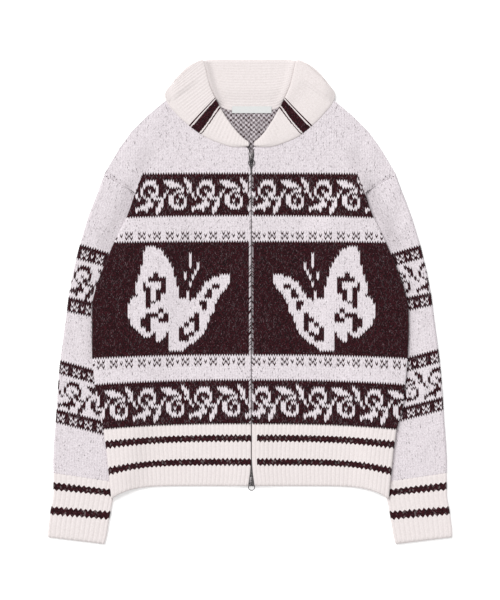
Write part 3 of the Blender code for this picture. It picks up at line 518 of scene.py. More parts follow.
def shell(name, outer, inner, material, ring=False):
    """A closed piece of cloth between an outer and an inner skin."""
    points, uvs, faces, yarn, grids = [], [], [], [], []
    count = 0
    for skin in (outer, inner):
        rows, cols = skin.points.shape[:2]
        index = count + np.arange(rows * cols).reshape(rows, cols)
        count += rows * cols
        grids.append(index)
        points.append(skin.points.reshape(-1, 3))
        uvs.append(np.stack(np.meshgrid(skin.across, skin.along), axis=-1).reshape(-1, 2))
        quads = np.stack([index[:-1, :-1], index[:-1, 1:], index[1:, 1:], index[1:, :-1]], axis=-1)
        faces += quads.reshape(-1, 4).tolist()
        yarn += skin.yarn.reshape(-1).tolist()
    out, low = grids
    edges = [(out[0], low[0], outer.across, inner.across, outer.yarn[0]),
             (out[-1], low[-1], outer.across, inner.across, outer.yarn[-1])]
    if not ring:
        edges += [(out[:, 0], low[:, 0], outer.along, inner.along, outer.yarn[:, 0]),
                  (out[:, -1], low[:, -1], outer.along, inner.along, outer.yarn[:, -1])]
    for chain_a, chain_b, at_a, at_b, shades in edges:
        made, shade = lace(chain_a.tolist(), chain_b.tolist(), at_a, at_b, shades.tolist())
        faces += made
        yarn += shade
    mesh = bpy.data.meshes.new(name)
    mesh.from_pydata((np.concatenate(points) * MM).tolist(), [], faces)
    mesh.attributes.new("yarn", "FLOAT", "FACE").data.foreach_set("value", np.array(yarn, dtype=np.float32))
    corner_uv = np.concatenate(uvs)[[index for face in faces for index in face]]
    mesh.uv_layers.new(name="knit").data.foreach_set("uv", corner_uv.astype(np.float32).ravel())
    return finish_cloth(name, mesh, material)


def finish_cloth(name, mesh, material):
    """Close the mesh where its stitches run out at an edge, and turn its faces outwards."""
    bm = bmesh.new()
    bm.from_mesh(mesh)
    bmesh.ops.remove_doubles(bm, verts=bm.verts, dist=0.05 * MM)
    bmesh.ops.recalc_face_normals(bm, faces=bm.faces)
    bm.to_mesh(mesh)
    bm.free()
    mesh.materials.append(material)
    mesh.shade_smooth()
    piece = bpy.data.objects.new(name, mesh)
    bpy.context.scene.collection.objects.link(piece)
    return piece


def lines(count, per_stitch):
    """The lines of a grid over some stitches, with more than one to a stitch."""
    return np.arange(count * per_stitch + 1) / per_stitch


def halves(count, per_stitch):
    """The lines of a grid that reaches as many stitches to each side of its middle."""
    return lines(2 * count, per_stitch) - count


def stitches(across, along):
    """Which stitch each face of a grid belongs to, as its column and its row."""
    return np.meshgrid(*(np.floor((line[:-1] + line[1:]) / 2).astype(int) for line in (across, along)))


def chequered(across, along):
    """The yarn of a wrong side, where the two colours change places at each stitch."""
    cols, rows = stitches(across, along)
    return ((cols + rows) % 2).astype(float)


def striped(across, along, dark_rows):
    """The yarn of a rib with dark stripes."""
    return np.isin(stitches(across, along)[1], dark_rows).astype(float)


def brush_stripes(yarn):
    """Brush a rib's dark stripes, and leave its white as it is."""
    return np.where(yarn > 0.5, brush(yarn, True), yarn)


def leg_rise(col):
    """How far the two legs of a stitch stand out across it."""
    return LEG_RISE * np.interp(col % 1.0, [0.0, 0.25, 0.5, 0.75, 1.0], [0.0, 1.0, 0.35, 1.0, 0.0])


def jersey_rise(col, row):
    """How far plain knitting stands out: a stitch's legs dip where they meet the next row."""
    return leg_rise(col) * np.interp(row % 1.0, [0.0, 0.5, 1.0], [0.45, 1.0, 0.45])


def v_rows(col, row, last, free=1.0):
    """Row lines bent to a V in each stitch, and straight at the first and last rows and at a held edge."""
    fade = np.clip(np.minimum(row, last - row), 0.0, 1.0) * free
    return row + SLANT * (np.abs(2.0 * (col % 1.0) - 1.0) - 0.5) * fade


def rib_rows(col, row, last):
    """Row lines bent to a V in each rib, no two ribs quite alike."""
    return v_rows(col, row, last, 0.6 + 0.5 * chance(np.floor(col), 3.0))


def rib_rise(share):
    """How far a rib stands out: a round ridge with a small dip along its middle."""
    return RIB_RISE * np.interp(share % 1.0, [0.0, 0.17, 0.33, 0.5, 0.67, 0.83, 1.0],
                                [0.0, 0.75, 1.0, 0.8, 1.0, 0.75, 0.0])


def end_drop(row, count):
    """How far a rib's last row rolls down."""
    return END_DROP * np.clip(row - (count - 1), 0.0, 1.0)


# ---- soft folds ----

# A crest from one point to another, its half width and its height, the same on both sides.
Fold = namedtuple("Fold", "from_x from_y to_x to_y reach rise")
SLEEVE_FOLDS = rows_of(Fold, [
    (234.0, 186.0, 214.0, 112.0, 24.0, 2.4), (262.0, 140.0, 252.0, 116.0, 12.0, 0.8),
    (290.0, 20.0, 284.0, -40.0, 11.0, 1.2), (300.0, -100.0, 284.0, -150.0, 14.0, 1.4),
    (306.0, -210.0, 282.0, -246.0, 14.0, 1.2),
])
FRONT_FOLDS = [Fold(204.0, 262.0, 192.0, 214.0, 24.0, 2.0), Fold(150.0, 300.0, 168.0, 262.0, 20.0, 1.0)]
FOLD_FROM_EDGE = 12.0     # a front's folds die out this near to its side

# Painted shade on the white beside the armholes and the body's sides: the rise is how much darker it is
# painted.
ARMHOLE_SHADE_LINES = rows_of(Fold, [
    (170.0, 240.0, 190.0, 196.0, 22.0, 0.09), (196.0, 184.0, 240.0, 96.0, 24.0, 0.14),
    (264.0, 60.0, 266.0, -90.0, 13.0, 0.07), (258.0, -120.0, 246.0, -215.0, 12.0, 0.06),
])


def fold_rise(folds, x, y):
    """The height that soft folds add."""
    rise = np.zeros_like(x)
    for fold in folds:
        along_x, along_y = fold.to_x - fold.from_x, fold.to_y - fold.from_y
        from_x, from_y = np.abs(x) - fold.from_x, y - fold.from_y
        share = np.clip((from_x * along_x + from_y * along_y) / (along_x ** 2 + along_y ** 2), 0.0, 1.0)
        away = np.hypot(from_x - share * along_x, from_y - share * along_y)
        rise += fold.rise * (1.0 - smooth(away / fold.reach))
    return rise


def paint_armhole_shade(yarn, x, y, rows_from=0):
    """Paint shade on the white stitches beside the armholes and the body's sides, on a skin with two faces
    to each row.
    """
    rows = np.arange(yarn.shape[0])[:, None] // 2
    return yarn + fold_rise(ARMHOLE_SHADE_LINES, x, y)[:-1, :-1] * (yarn < 0.5) * (rows >= rows_from)


# ---- body ----

def back_edge_y(x):
    """The top edge of the back: the neck seam in the middle, then the shoulder."""
    rows = BACK_NECK_ROWS[2:]
    edge = [(row.in_x, row.in_y) for row in rows] + [(row.out_x, row.out_y) for row in reversed(rows)]
    return read_line(edge, np.abs(x))


# Where stitches of the body lie in plan, how far they are from the side edge and from the zip or the neck,
# and their room: how far they are from the edges on which the stitches beyond them are gathered.
BodyPlace = namedtuple("BodyPlace", "x y from_side from_zip room")


def body_place(side, col, row, is_back=False):
    """The place of stitches on one side of the body, from its outline."""
    in_y = read_line(BODY_MARKS, row)
    line = read_table(BACK_ROWS if is_back else FRONT_ROWS, "in_y", in_y)
    in_x, out_x = line["in_x"], line["out_x"]
    in_neck = in_y > ZIP_END_Y
    wanted = STITCH * col if is_back else ZIP_X * side + FIRST_STITCH + STITCH * col
    start = np.zeros_like(wanted) if is_back else np.where(in_neck, in_x, ZIP_X * side + in_x)
    x = np.where(col == 0, start, np.clip(wanted, start, out_x))
    share = np.where(in_neck, (x - in_x) / (out_x - in_x), x / out_x)
    y = line["in_y"] + (line["out_y"] - line["in_y"]) * np.clip(share, 0.0, 1.0) ** ROW_BEND
    room = out_x - wanted
    if is_back:
        edge_y = back_edge_y(x)
        return BodyPlace(side * x, np.minimum(y, edge_y), out_x - x, x, np.minimum(room, edge_y - y))
    room = np.where(in_neck, np.minimum(room, wanted - start), room)
    return BodyPlace(side * x, y, out_x - x, x - start, room)


def knitted_place(side, col, row, is_back=False):
    """The place of the body's stitches with their rows bent to a V."""
    held = np.clip(body_place(side, col, row, is_back).room / HELD, 0.0, 1.0)
    return body_place(side, col, v_rows(col, row, BODY_MARKS[-1].row, held), is_back)


def side_of(col):
    """-1 left of the middle of the back, and 1 right of it."""
    return np.where(col < 0, -1, 1)


def edge_drop(from_side, from_zip, row):
    """The cloth's roll down at the folded side and at the zip."""
    seam_row = read_line([(mark.y, mark.row) for mark in BODY_MARKS], SIDE_SEAM_TOP)
    at_side = SIDE_ROLL * rolled(from_side, SIDE_REACH) * (row < seam_row)
    return at_side + ZIP_ROLL * rolled(from_zip, ZIP_REACH)


def armhole_drop(from_side, row):
    """The front's slope down to the sleeve at the armhole seam."""
    at_seam = smooth((row - ARMHOLE_ROW) / 3.0) * (1.0 - smooth((row - SHOULDER_ROW) / 2.0))
    return ARMHOLE_SLOPE * at_seam * (1.0 - smooth(from_side / ARMHOLE_REACH))


# The upper rose band stops near the armhole at a slanted line, given by its height and its distance from the
# middle, with a dark edge along it.
BAND_END = [(138.5, 204.0), (180.3, 187.5), (212.0, 176.0)]
BAND_EDGE = 2.0


def end_rose_band(yarn, rows, x, y):
    """Stop the upper rose band at its slanted end."""
    past = np.abs(x) - read_line(BAND_END, y)
    in_band = (rows >= UPPER_ROSES) & (rows < UPPER_ROSES + len(ROSE))
    yarn = np.where(in_band & (past > 0.0), 0.0, yarn)
    return np.where(in_band & (past > -BAND_EDGE) & (past <= 0.0), 1.0, yarn)


def zip_loops(side, yarn):
    """The loops that hold the zip, with gaps between them: bright on one side, and greyer on the other,
    where the grey is painted shade of the zip's teeth.
    """
    loop = chance(np.arange(yarn.shape[0]) + 0.0, 5.0 + side)[:, None]
    edge = yarn[:, :2] if side < 0 else yarn[:, :1]
    # on the right side the loops are a mid grey: painted shade of the teeth beside them
    on_dark = np.where(loop > 0.3, (0.02 if side < 0 else 0.5) + 0.3 * loop, 1.0)
    edge[:] = np.where(edge > 0.5, on_dark, np.where(loop > 0.7, 0.5 * loop, edge))


def front(name, side, ground, material):
    """One knitted front, its lowest stitches reaching down over the rib."""
    c, r = lines(FRONT_STITCHES, 4), lines(BODY_MARKS[-1].row, 2)
    col, row = np.meshgrid(c, r)
    x, y, from_side, from_zip, _ = knitted_place(side, col, row)
    from_fold = np.where(row > ARMHOLE_ROW, FLAT, from_side)
    raised = np.clip(np.minimum(from_fold, from_zip + EDGE_LIFT * (row < NECK_ROW)) / FLAT, 0.0, 1.0)
    hang = (1.0 - np.abs(2.0 * (col % 1.0) - 1.0)) * (row == 0)
    y += TOOTH_ROOT * (row == 0) - TOOTH_DEPTH * hang
    x += EDGE_WOBBLE * (chance(side, 2.0 * row) - 0.5) * (col == 0)
    z = ground.at(x, y) - FRONT_SINK + jersey_rise(col, row) * raised + TOOTH_RISE * hang
    z -= edge_drop(from_side, from_zip, row) + armhole_drop(from_side, row)
    z += fold_rise(FRONT_FOLDS, x, y) * smooth(from_side / FOLD_FROM_EDGE)
    cols, rows = stitches(c, r)
    yarn = end_rose_band(body_chart(side, cols, rows), rows, x[:-1, :-1], y[:-1, :-1])
    # the white beside the armhole gets painted shade
    yarn = paint_armhole_shade(brush(yarn, ~on_panel(rows)), x, y, ARMHOLE_ROW + 1)
    zip_loops(side, yarn)
    return shell(name, skin_at(x, y, z, yarn, c, r), lining(side, ground), material)


def lining(side, ground):
    """The plain inner side of a front, one face to a stitch."""
    c, r = lines(FRONT_STITCHES, 1), lines(BODY_MARKS[-1].row, 1)
    col, row = np.meshgrid(c, r)
    x, y, from_side, from_zip, _ = body_place(side, col, row)
    drop = LINING_SHARE * edge_drop(from_side, from_zip, row) + armhole_drop(from_side, row)
    return skin_at(x, y, ground.at(x, y) - WALL - drop, chequered(c, r), c, r)


def back(name, lower, upper, material):
    """The knitted back: its right side lies down, and its purl side shows in the neck."""
    c, r = halves(BACK_STITCHES, 4), lines(BODY_MARKS[-1].row, 1)
    col, row = np.meshgrid(c, r)
    x, y, from_side, _, room = knitted_place(side_of(col), np.abs(col), row, True)
    rise = leg_rise(col) * np.clip(room / FLAT, 0.0, 1.0)
    z = lower.at(x, y) + LEG_RISE - rise + BACK_ROLL * rolled(from_side, SIDE_REACH)
    cols, rows = stitches(c, r)
    yarn = brush(body_chart(1, cols, rows), ~on_panel(rows))
    return shell(name, skin_at(x, y, z, yarn, c, r), purl_side(upper), material)


def purl_side(ground):
    """The back's inner side, with the purl loops that show in the neck."""
    last = BODY_MARKS[-1].row
    c = np.concatenate([np.arange(-BACK_STITCHES, -PURL_REACH), halves(PURL_REACH, 2),
                        np.arange(PURL_REACH + 1, BACK_STITCHES + 1)])
    r = np.concatenate([np.arange(PURL_FROM_ROW), lines(last - PURL_FROM_ROW, 2) + PURL_FROM_ROW])
    col, row = np.meshgrid(c, r)
    side, away = side_of(col), np.abs(col)
    wave = np.cos(2.0 * math.pi * col) * ((row > PURL_FROM_ROW) & (away < PURL_REACH))
    held = np.clip(body_place(side, away, row, True).room / HELD, 0.0, 1.0)
    x, y, _, _, room = body_place(side, away, np.minimum(row + PURL_SLANT * wave * held, last), True)
    loops = PURL_RISE * wave * np.cos(2.0 * math.pi * row) * np.clip(room / FLAT, 0.0, 1.0)
    cols, rows = np.meshgrid(*(np.floor(line[:-1] * 2.0 + 0.1).astype(int) for line in (c, r)))
    dark, white = 0.7 + 0.3 * chance(cols, rows), 0.1 + 0.4 * chance(rows, cols)
    yarn = np.where((cols // 2 + rows // 2) % 2 == 0, dark, white)
    return skin_at(x, y, ground.at(x, y) - PURL_SINK + loops, yarn, c, r)


def hem_place(side, col, row, is_back):
    """Where a point of the hem rib lies in plan, and how far it is from the side."""
    share = col / HEM_RIBS
    line = read_table(HEM_ROWS, "in_y", read_line(HEM_MARKS, row))
    y = line["in_y"] + (line["out_y"] - line["in_y"]) * share ** line["bend"]
    start = np.zeros_like(share) if is_back else side * ZIP_X + line["in_x"]
    return side * (start + (line["out_x"] - start) * share), y, line["out_x"] * (1.0 - share)


def hem_front(name, side, ground, material):
    """The rib below one front, with its two dark stripes."""
    c, r = lines(HEM_RIBS, 6), lines(HEM_ROW_COUNT, 1)
    col, row = np.meshgrid(c, r)
    x, y, from_side = hem_place(side, col, rib_rows(col, row, HEM_ROW_COUNT), False)
    y += HEM_TOP_RISE * (row == 0)
    drop = SIDE_ROLL * rolled(from_side, SIDE_REACH) + ZIP_ROLL * (col == 0)
    drop += end_drop(row, HEM_ROW_COUNT) + HEM_TOP_DROP * (row == 0)
    z = ground.at(x, y) - HEM_SINK - drop + rib_rise(col)
    yarn = striped(c, r, HEM_STRIPES) * (np.abs(x[:-1, :-1]) > HEM_STRIPE_START[side])
    outer = skin_at(x, y, z, brush_stripes(yarn), c, r)
    c = lines(HEM_RIBS, 1)
    x, y, _ = hem_place(side, *np.meshgrid(c, r), False)
    inner = skin_at(x, y, ground.at(x, y) - WALL - FRONT_SINK, striped(c, r, HEM_STRIPES), c, r)
    return shell(name, outer, inner, material)


def hem_back(name, lower, upper, material):
    """The rib below the back, its ribs turned down."""
    c, r = halves(HEM_RIBS, 6), lines(HEM_ROW_COUNT, 1)
    col, row = np.meshgrid(c, r)
    x, y, from_side = hem_place(side_of(col), np.abs(col), rib_rows(col, row, HEM_ROW_COUNT), True)
    z = lower.at(x, y) + RIB_RISE - rib_rise(col) + BACK_ROLL * rolled(from_side, SIDE_REACH)
    outer = skin_at(x, y, z, striped(c, r, HEM_STRIPES), c, r)
    c = halves(HEM_RIBS, 1)
    col, row = np.meshgrid(c, r)
    x, y, _ = hem_place(side_of(col), np.abs(col), row, True)
    inner = skin_at(x, y, upper.at(x, y) - HEM_BACK_SINK, striped(c, r, HEM_STRIPES), c, r)
    return shell(name, outer, inner, material)


# ---- sleeves ----

# A place on a flattened tube, the way out of it, how far round it lies from the outer fold, and how far
# round the inner fold lies.
TubePlace = namedtuple("TubePlace", "points out away half")


def tube_place(side, table, outer_y, around, share):
    """A place on a sleeve's tube. around is the distance from the outer fold, below 0 on the underside, or
    with share a part of the way to the inner fold."""
    line = read_table(table, "outer_y", outer_y)
    first_x, first_y = line["mid_x"] - line["outer_x"], line["mid_y"] - line["outer_y"]
    second_x, second_y = line["inner_x"] - line["mid_x"], line["inner_y"] - line["mid_y"]
    first, second = np.hypot(first_x, first_y), np.hypot(second_x, second_y)
    bend = SLEEVE_HEIGHT / 2
    width = first + second
    quarter = bend * math.pi / 2
    half = 2 * quarter + width - 2 * bend
    away = np.minimum(np.abs(around) * (half if share else 1.0), half)
    at_outer = np.clip(away / quarter, 0.0, 1.0) * math.pi / 2
    at_inner = np.clip((away - half + quarter) / quarter, 0.0, 1.0) * math.pi / 2
    along = bend * (1.0 - np.cos(at_outer)) + np.clip(away - quarter, 0.0, width - 2 * bend)
    along = along + bend * np.sin(at_inner)
    on_first = np.clip(along / first, 0.0, 1.0)
    on_second = np.clip((along - first) / second, 0.0, 1.0)
    x = line["outer_x"] + first_x * on_first + second_x * on_second
    y = line["outer_y"] + first_y * on_first + second_y * on_second
    up = np.sin(at_outer) * np.cos(at_inner) * np.where(around < 0, -1.0, 1.0)
    sideways = (np.sin(at_inner) - np.cos(at_outer)) / width
    out = np.stack([side * sideways * (first_x + second_x), sideways * (first_y + second_y), up], axis=-1)
    out /= np.maximum(np.linalg.norm(out, axis=-1, keepdims=True), 0.01)
    return TubePlace(np.stack([side * x, y, bend + bend * up], axis=-1), out, away, half)


def sleeve_place(side, col, row):
    """The place of a sleeve's stitches."""
    outer_y = read_line(SLEEVE_BANDS[side].marks, row)
    return tube_place(side, SLEEVE_ROWS, outer_y, col * STITCH, False)


def sleeve_skin(side, c, r, sink, knitted):
    """One skin of a sleeve, sunk below its form, with or without its stitches."""
    bands = SLEEVE_BANDS[side]
    last = bands.marks[-1].row
    col, row = np.meshgrid(c, r)
    tilt = ROW_TILT / ROW * sleeve_place(side, col, row).away
    bent = row - tilt * np.clip(np.minimum(row, last - row) / TILT_FADE, 0.0, 1.0)
    if knitted:
        place = sleeve_place(side, col, bent)
        held = np.clip((place.half - place.away - 0.3) / HELD, 0.0, 1.0)
        bent += v_rows(col, row, last, held) - row
    place = sleeve_place(side, col, np.clip(bent, 0.0, last))
    raised = np.clip((place.half - place.away) / FLAT, 0.0, 1.0)
    rise = jersey_rise(col, row) * raised if knitted else np.zeros_like(col)
    points = place.points + place.out * (rise - sink)[..., None]
    x, y = points[..., 0], points[..., 1]
    points[..., 2] += fold_rise(SLEEVE_FOLDS, x, y) * (place.out[..., 2] > 0.9)
    if not knitted:
        return Skin(points, chequered(c, r), c, r)
    cols, rows = stitches(c, r)
    # the white beside the body's side and the armhole gets painted shade
    return Skin(points, paint_armhole_shade(brush(sleeve_chart(cols, rows, bands), True), x, y), c, r)


def sleeve(name, side, material):
    """One knitted sleeve, a flattened tube with its seam along the inner fold."""
    last = SLEEVE_BANDS[side].marks[-1].row
    outer = sleeve_skin(side, halves(SLEEVE_STITCHES, 4), lines(last, 2), LEG_RISE, True)
    inner = sleeve_skin(side, halves(SLEEVE_STITCHES, 1), lines(last, 1), WALL, False)
    return shell(name, outer, inner, material, ring=True)


def cuff_skin(side, c, r, sink, ribbed):
    """One skin of a cuff, sunk below its form, with or without its ribs."""
    col, row = np.meshgrid(c, r)
    bent = np.clip(rib_rows(col, row, CUFF_ROW_COUNT) if ribbed else row, 0.0, CUFF_ROW_COUNT)
    place = tube_place(side, CUFF_ROWS, read_line(CUFF_MARKS, bent), col / CUFF_RIBS, True)
    rise = rib_rise(col) - end_drop(row, CUFF_ROW_COUNT) if ribbed else np.zeros_like(col)
    yarn = brush_stripes(striped(c, r, CUFF_STRIPES))
    return Skin(place.points + place.out * (rise - sink)[..., None], yarn, c, r)


def cuff(name, side, material):
    """One ribbed cuff."""
    r = lines(CUFF_ROW_COUNT, 1)
    outer = cuff_skin(side, halves(CUFF_RIBS, 6), r, RIB_RISE, True)
    inner = cuff_skin(side, halves(CUFF_RIBS, 1), r, WALL, False)
    return shell(name, outer, inner, material, ring=True)


# ---- collar ----

def zip_shift(y):
    """How far the neck lies to the zip's side."""
    return ZIP_X * (1.0 - smooth((y - V_Y) / V_FADE))


def leaf_level(x, y):
    """The height of the fronts' inner side, which a leaf's stand continues."""
    bulge = ZIP_RISE * (1.0 - smooth((np.abs(x - ZIP_X) - ZIP_RISE_REACH) / ZIP_RISE_FADE))
    return STAND_LOW + bulge + SEAM_LIFT * smooth((y - back_edge_y(x) + SEAM_LIFT_FADE) / SEAM_LIFT_FADE)


# The stripe across each leaf: its first and last ridge at the roll and at the free edge, and the parts of
# its width that are dark, a fine line each side of a broad one.
StripeEnd = namedtuple("StripeEnd", "first last")
STRIPE_AT_ROLL, STRIPE_AT_EDGE = StripeEnd(12.3, 16.8), StripeEnd(13.7, 16.7)
STRIPE_PARTS = [(0.0, 0.09), (0.19, 0.8), (0.91, 1.0)]


def leaf_stripe(ridge, share):
    """The yarn of the leaf at some ridges, at a share of the way from the roll to the free edge."""
    first = STRIPE_AT_ROLL.first + (STRIPE_AT_EDGE.first - STRIPE_AT_ROLL.first) * share
    last = STRIPE_AT_ROLL.last + (STRIPE_AT_EDGE.last - STRIPE_AT_ROLL.last) * share
    place = (ridge - first) / (last - first)
    dark = np.zeros(place.shape, dtype=bool)
    for start, end in STRIPE_PARTS:
        dark |= (place > start) & (place < end)
    return dark.astype(float)


def plan_of(line, name):
    """One line of a table in plan, from its x and y columns."""
    return np.stack([line[name + "_x"], line[name + "_y"]], axis=-1)


def ridge_rise(share):
    """The height of the collar's soft ridges."""
    return RIDGE_RISE * (0.5 - 0.5 * np.cos(2.0 * math.pi * share)) - RIDGE_SINK


def leaf(name, side, ground, material):
    """One front leaf of the collar, folded over its own stand, with ridges that run out to its edge."""
    c = lines(LEAF_RIDGES, 8)
    line = curve_table(LEAF_ROWS, c / LEAF_RIDGES)
    roll, edge, neck = plan_of(line, "roll"), plan_of(line, "edge"), plan_of(line, "neck")
    out = (edge - roll) / np.linalg.norm(edge - roll, axis=-1, keepdims=True)
    start = roll + out * ROLL_BEND
    fold = roll + out * (ROLL_BEND + FOLD_ROOM)
    leaf_low = COLLAR_WALL + LEAF_GAP
    top = leaf_low + COLLAR_WALL
    ridge = ridge_rise(c)

    def column(place, height, raised):
        x = side * place[:, 0] + zip_shift(place[:, 1])
        z = leaf_level(place[:, 0], place[:, 1]) + height + ridge * raised
        return np.stack([x, place[:, 1], z], axis=-1)

    def settled(points, above):
        points[:, 2] = np.minimum(points[:, 2], ground.at(points[:, 0], points[:, 1]) + above)
        return points

    outer = [column(place, 0.0, 0.0) for place in (neck, (neck + start) / 2, start)]
    for turn in (-0.75, -0.5, -0.25, 0.0, 0.25, 0.5, 0.75):
        angle = turn * math.pi / 2
        rounded = start - out * ROLL_BEND * math.cos(angle)
        outer.append(column(rounded, top / 2 * (1.0 + math.sin(angle)), 0.5 + 0.5 * turn))
    for share in (0.0, 0.08, 0.18, 0.3, 0.44, 0.58, 0.7, 0.8):
        crown = LEAF_CROWN * math.sin(math.pi * share)
        outer.append(column(start + (edge - start) * share, top + crown, 1.0))
    for share, above in LEAF_SETTLES:
        outer.append(settled(column(start + (edge - start) * share, top, share), above))
    inner = [column(neck, COLLAR_WALL, 0.0), column((neck + fold) / 2, COLLAR_WALL, 0.0),
             column(fold, (COLLAR_WALL + leaf_low) / 2, 0.0)]
    inner += [column(fold + (edge - fold) * share, leaf_low, 0.0) for share in (0.35, 0.7, 0.95)]
    inner.append(settled(column(edge, leaf_low - 0.45, 0.0), -0.7))
    skins = []
    for columns, lead in ((outer, 9), (inner, 2)):
        points = np.stack(columns, axis=1)
        steps = points.shape[1]
        share = np.clip((np.arange(steps - 1) - lead) / (steps - 2.0 - lead), 0.0, 1.0)
        yarn = leaf_stripe(*np.meshgrid((c[:-1] + c[1:]) / 2, share, indexing="ij"))
        skins.append(Skin(points, yarn, np.linspace(0.0, LEAF_KNIT_ROWS, steps), c))
    return shell(name, *skins, material)


def near_roll(x, y):
    """1 at the leaves' roll lines, and 0 farther in, beyond the rolls and below them."""
    roll_x = read_line([(row.roll_y, row.roll_x) for row in LEAF_ROWS[:-1]], y)
    inwards = roll_x - np.abs(x)
    near = (1.0 - smooth(inwards / ROLL_REACH)) * smooth((inwards + ROLL_BEND) / ROLL_BEND)
    return near * smooth((y - ROLL_FROM_Y) / ROLL_FADE)


def back_collar(name, material):
    """The collar behind the neck, its ridges running across the stand."""
    mirrored = [BackCollarRow(-row.fold_x, row.fold_y, -row.seam_x, row.seam_y)
                for row in reversed(BACK_COLLAR_ROWS[1:])]
    line = curve_table(mirrored + BACK_COLLAR_ROWS, np.linspace(0.0, 1.0, STAND_COLUMNS))
    fold, seam = plan_of(line, "fold"), plan_of(line, "seam")
    length = np.linalg.norm(seam - fold, axis=-1)
    near = np.minimum(ROLL_BEND / length, 0.3)
    stand_low = COLLAR_WALL + 0.5
    top = stand_low + COLLAR_WALL

    def column(share, z):
        place = fold + (seam - fold) * (share * np.ones_like(length))[:, None]
        return np.concatenate([place, (z * np.ones_like(length))[:, None]], axis=-1)

    def stand_level(share, slope_from):
        return stand_low * (1.0 - smooth((share - slope_from) / (STAND_FLAT - slope_from)))

    def rise_to_roll(points):
        x, y = points[:, 0], points[:, 1]
        points[:, 2] += np.where(x < 0, ROLL_RISE[-1], ROLL_RISE[1]) * near_roll(x, y)
        return points

    outer = [column(share, 0.0) for share in (STAND_RAMP, 0.65, 0.5, 0.3, near)]
    for turn in (-0.6, -0.3, 0.0, 0.3, 0.6):
        angle = turn * math.pi / 2
        outer.append(column(near * (1.0 - math.cos(angle)), top / 2 * (1.0 + math.sin(angle))))
    for ridge in lines(STAND_RIDGES, 4):
        share = near + (1.0 - near) * ridge / STAND_RIDGES
        level = stand_level(share, STAND_SLOPE) + COLLAR_WALL
        outer.append(rise_to_roll(column(share, level + ridge_rise(ridge))))
    inner = [column(STAND_RAMP, COLLAR_WALL), column(0.5, COLLAR_WALL),
             column(near, (COLLAR_WALL + stand_low) / 2), column(0.5, stand_low),
             column(STAND_RAMP, stand_low), column(STAND_TURN, stand_level(STAND_TURN, STAND_RAMP)),
             column(STAND_FLAT, 0.0), column(1.0, 0.0)]
    skins = []
    for columns in (outer, inner):
        points = np.stack(columns, axis=1)
        x, y, z = np.moveaxis(points[:-1, :-1], -1, 0)
        rows, steps = points.shape[:2]
        # the stand beside the leaves' rolls gets painted shade through its yarn
        skins.append(Skin(points, ROLL_CREASE_SHADE * near_roll(x, y) * (z > stand_low),
                          np.linspace(0.0, STAND_RIDGES, steps), np.linspace(0.0, STAND_STITCHES, rows)))
    return shell(name, *skins, material)


# ---- materials ----

# One of each look's numbers is how much shade is painted along the lines where stitches meet.
YarnLook = namedtuple("YarnLook", "light shade deep fleck creases gaps loft")
JACQUARD_LOOK = YarnLook(light=(0.83, 0.78, 0.81), shade=(0.56, 0.50, 0.53), deep=(0.020, 0.007, 0.009),
                         fleck=(0.26, 0.20, 0.22), creases=0.45, gaps=0.3, loft=1.0)
RIB_LOOK = YarnLook(light=(0.752, 0.695, 0.689), shade=(0.655, 0.598, 0.588), deep=(0.020, 0.007, 0.009),
                    fleck=(0.20, 0.15, 0.17), creases=0.4, gaps=0.0, loft=0.8)
DARK_METAL, WORN_METAL = (0.04, 0.036, 0.037), (0.30, 0.28, 0.285)
SEAM_YARN = (0.045, 0.022, 0.026, 1.0)


def new_group(name, inputs, outputs):
    """An empty node group with named sockets. Each is (name, kind, value)."""
    group = bpy.data.node_groups.new(name, "ShaderNodeTree")
    for label, kind, value in inputs:
        socket = group.interface.new_socket(label, in_out="INPUT", socket_type=kind)
        if value is not None:
            socket.default_value = value
    for label in outputs:
        group.interface.new_socket(label, in_out="OUTPUT", socket_type="NodeSocketFloat")
    return group, group.nodes.new("NodeGroupInput"), group.nodes.new("NodeGroupOutput")


def set_inputs(node, values):
    """Set some of a node's inputs by name."""
    for label, value in values.items():
        node.inputs[label].default_value = value


def math_node(tree, operation, a, b):
    """A Math node on two sockets or numbers, and its result."""
    node = tree.nodes.new("ShaderNodeMath")
    node.operation = operation
    for value, socket in zip((a, b), node.inputs):
        if isinstance(value, (int, float)):
            socket.default_value = value
        else:
            tree.links.new(value, socket)
    return node.outputs[0]


def times(tree, a, b):
    """The product of two sockets or numbers."""
    return math_node(tree, "MULTIPLY", a, b)


def plus(tree, a, b):
    """The sum of two sockets or numbers."""
    return math_node(tree, "ADD", a, b)


def vector_node(tree, operation, vector, by=(0.0, 0.0, 0.0)):
    """A Vector Math node on a socket and a fixed vector, and its result."""
    node = tree.nodes.new("ShaderNodeVectorMath")
    node.operation = operation
    node.inputs[1].default_value = by
    tree.links.new(vector, node.inputs[0])
    return node.outputs[0]


def noise(tree, vector, scale, detail, roughness):
    """A Noise texture's value."""
    node = tree.nodes.new("ShaderNodeTexNoise")
    set_inputs(node, {"Scale": scale, "Detail": detail, "Roughness": roughness})
    tree.links.new(vector, node.inputs["Vector"])
    return node.outputs["Fac"]


def mix_colour(tree, factor, a, b):
    """A mix of two colours, each a socket or a value."""
    node = tree.nodes.new("ShaderNodeMix")
    node.data_type = "RGBA"
    tree.links.new(factor, node.inputs["Factor"])
    for value, socket in ((a, node.inputs[6]), (b, node.inputs[7])):
        if isinstance(value, tuple):
            socket.default_value = (*value, 1.0)
        else:
            tree.links.new(value, socket)
    return node.outputs[2]


def ramp(tree, factor, low, high, to_low=0.0, to_high=1.0):
    """to_low below low, to_high above high."""
    node = tree.nodes.new("ShaderNodeMapRange")
    set_inputs(node, {"From Min": low, "From Max": high, "To Min": to_low, "To Max": to_high})
    tree.links.new(factor, node.inputs["Value"])
    return node.outputs["Result"]


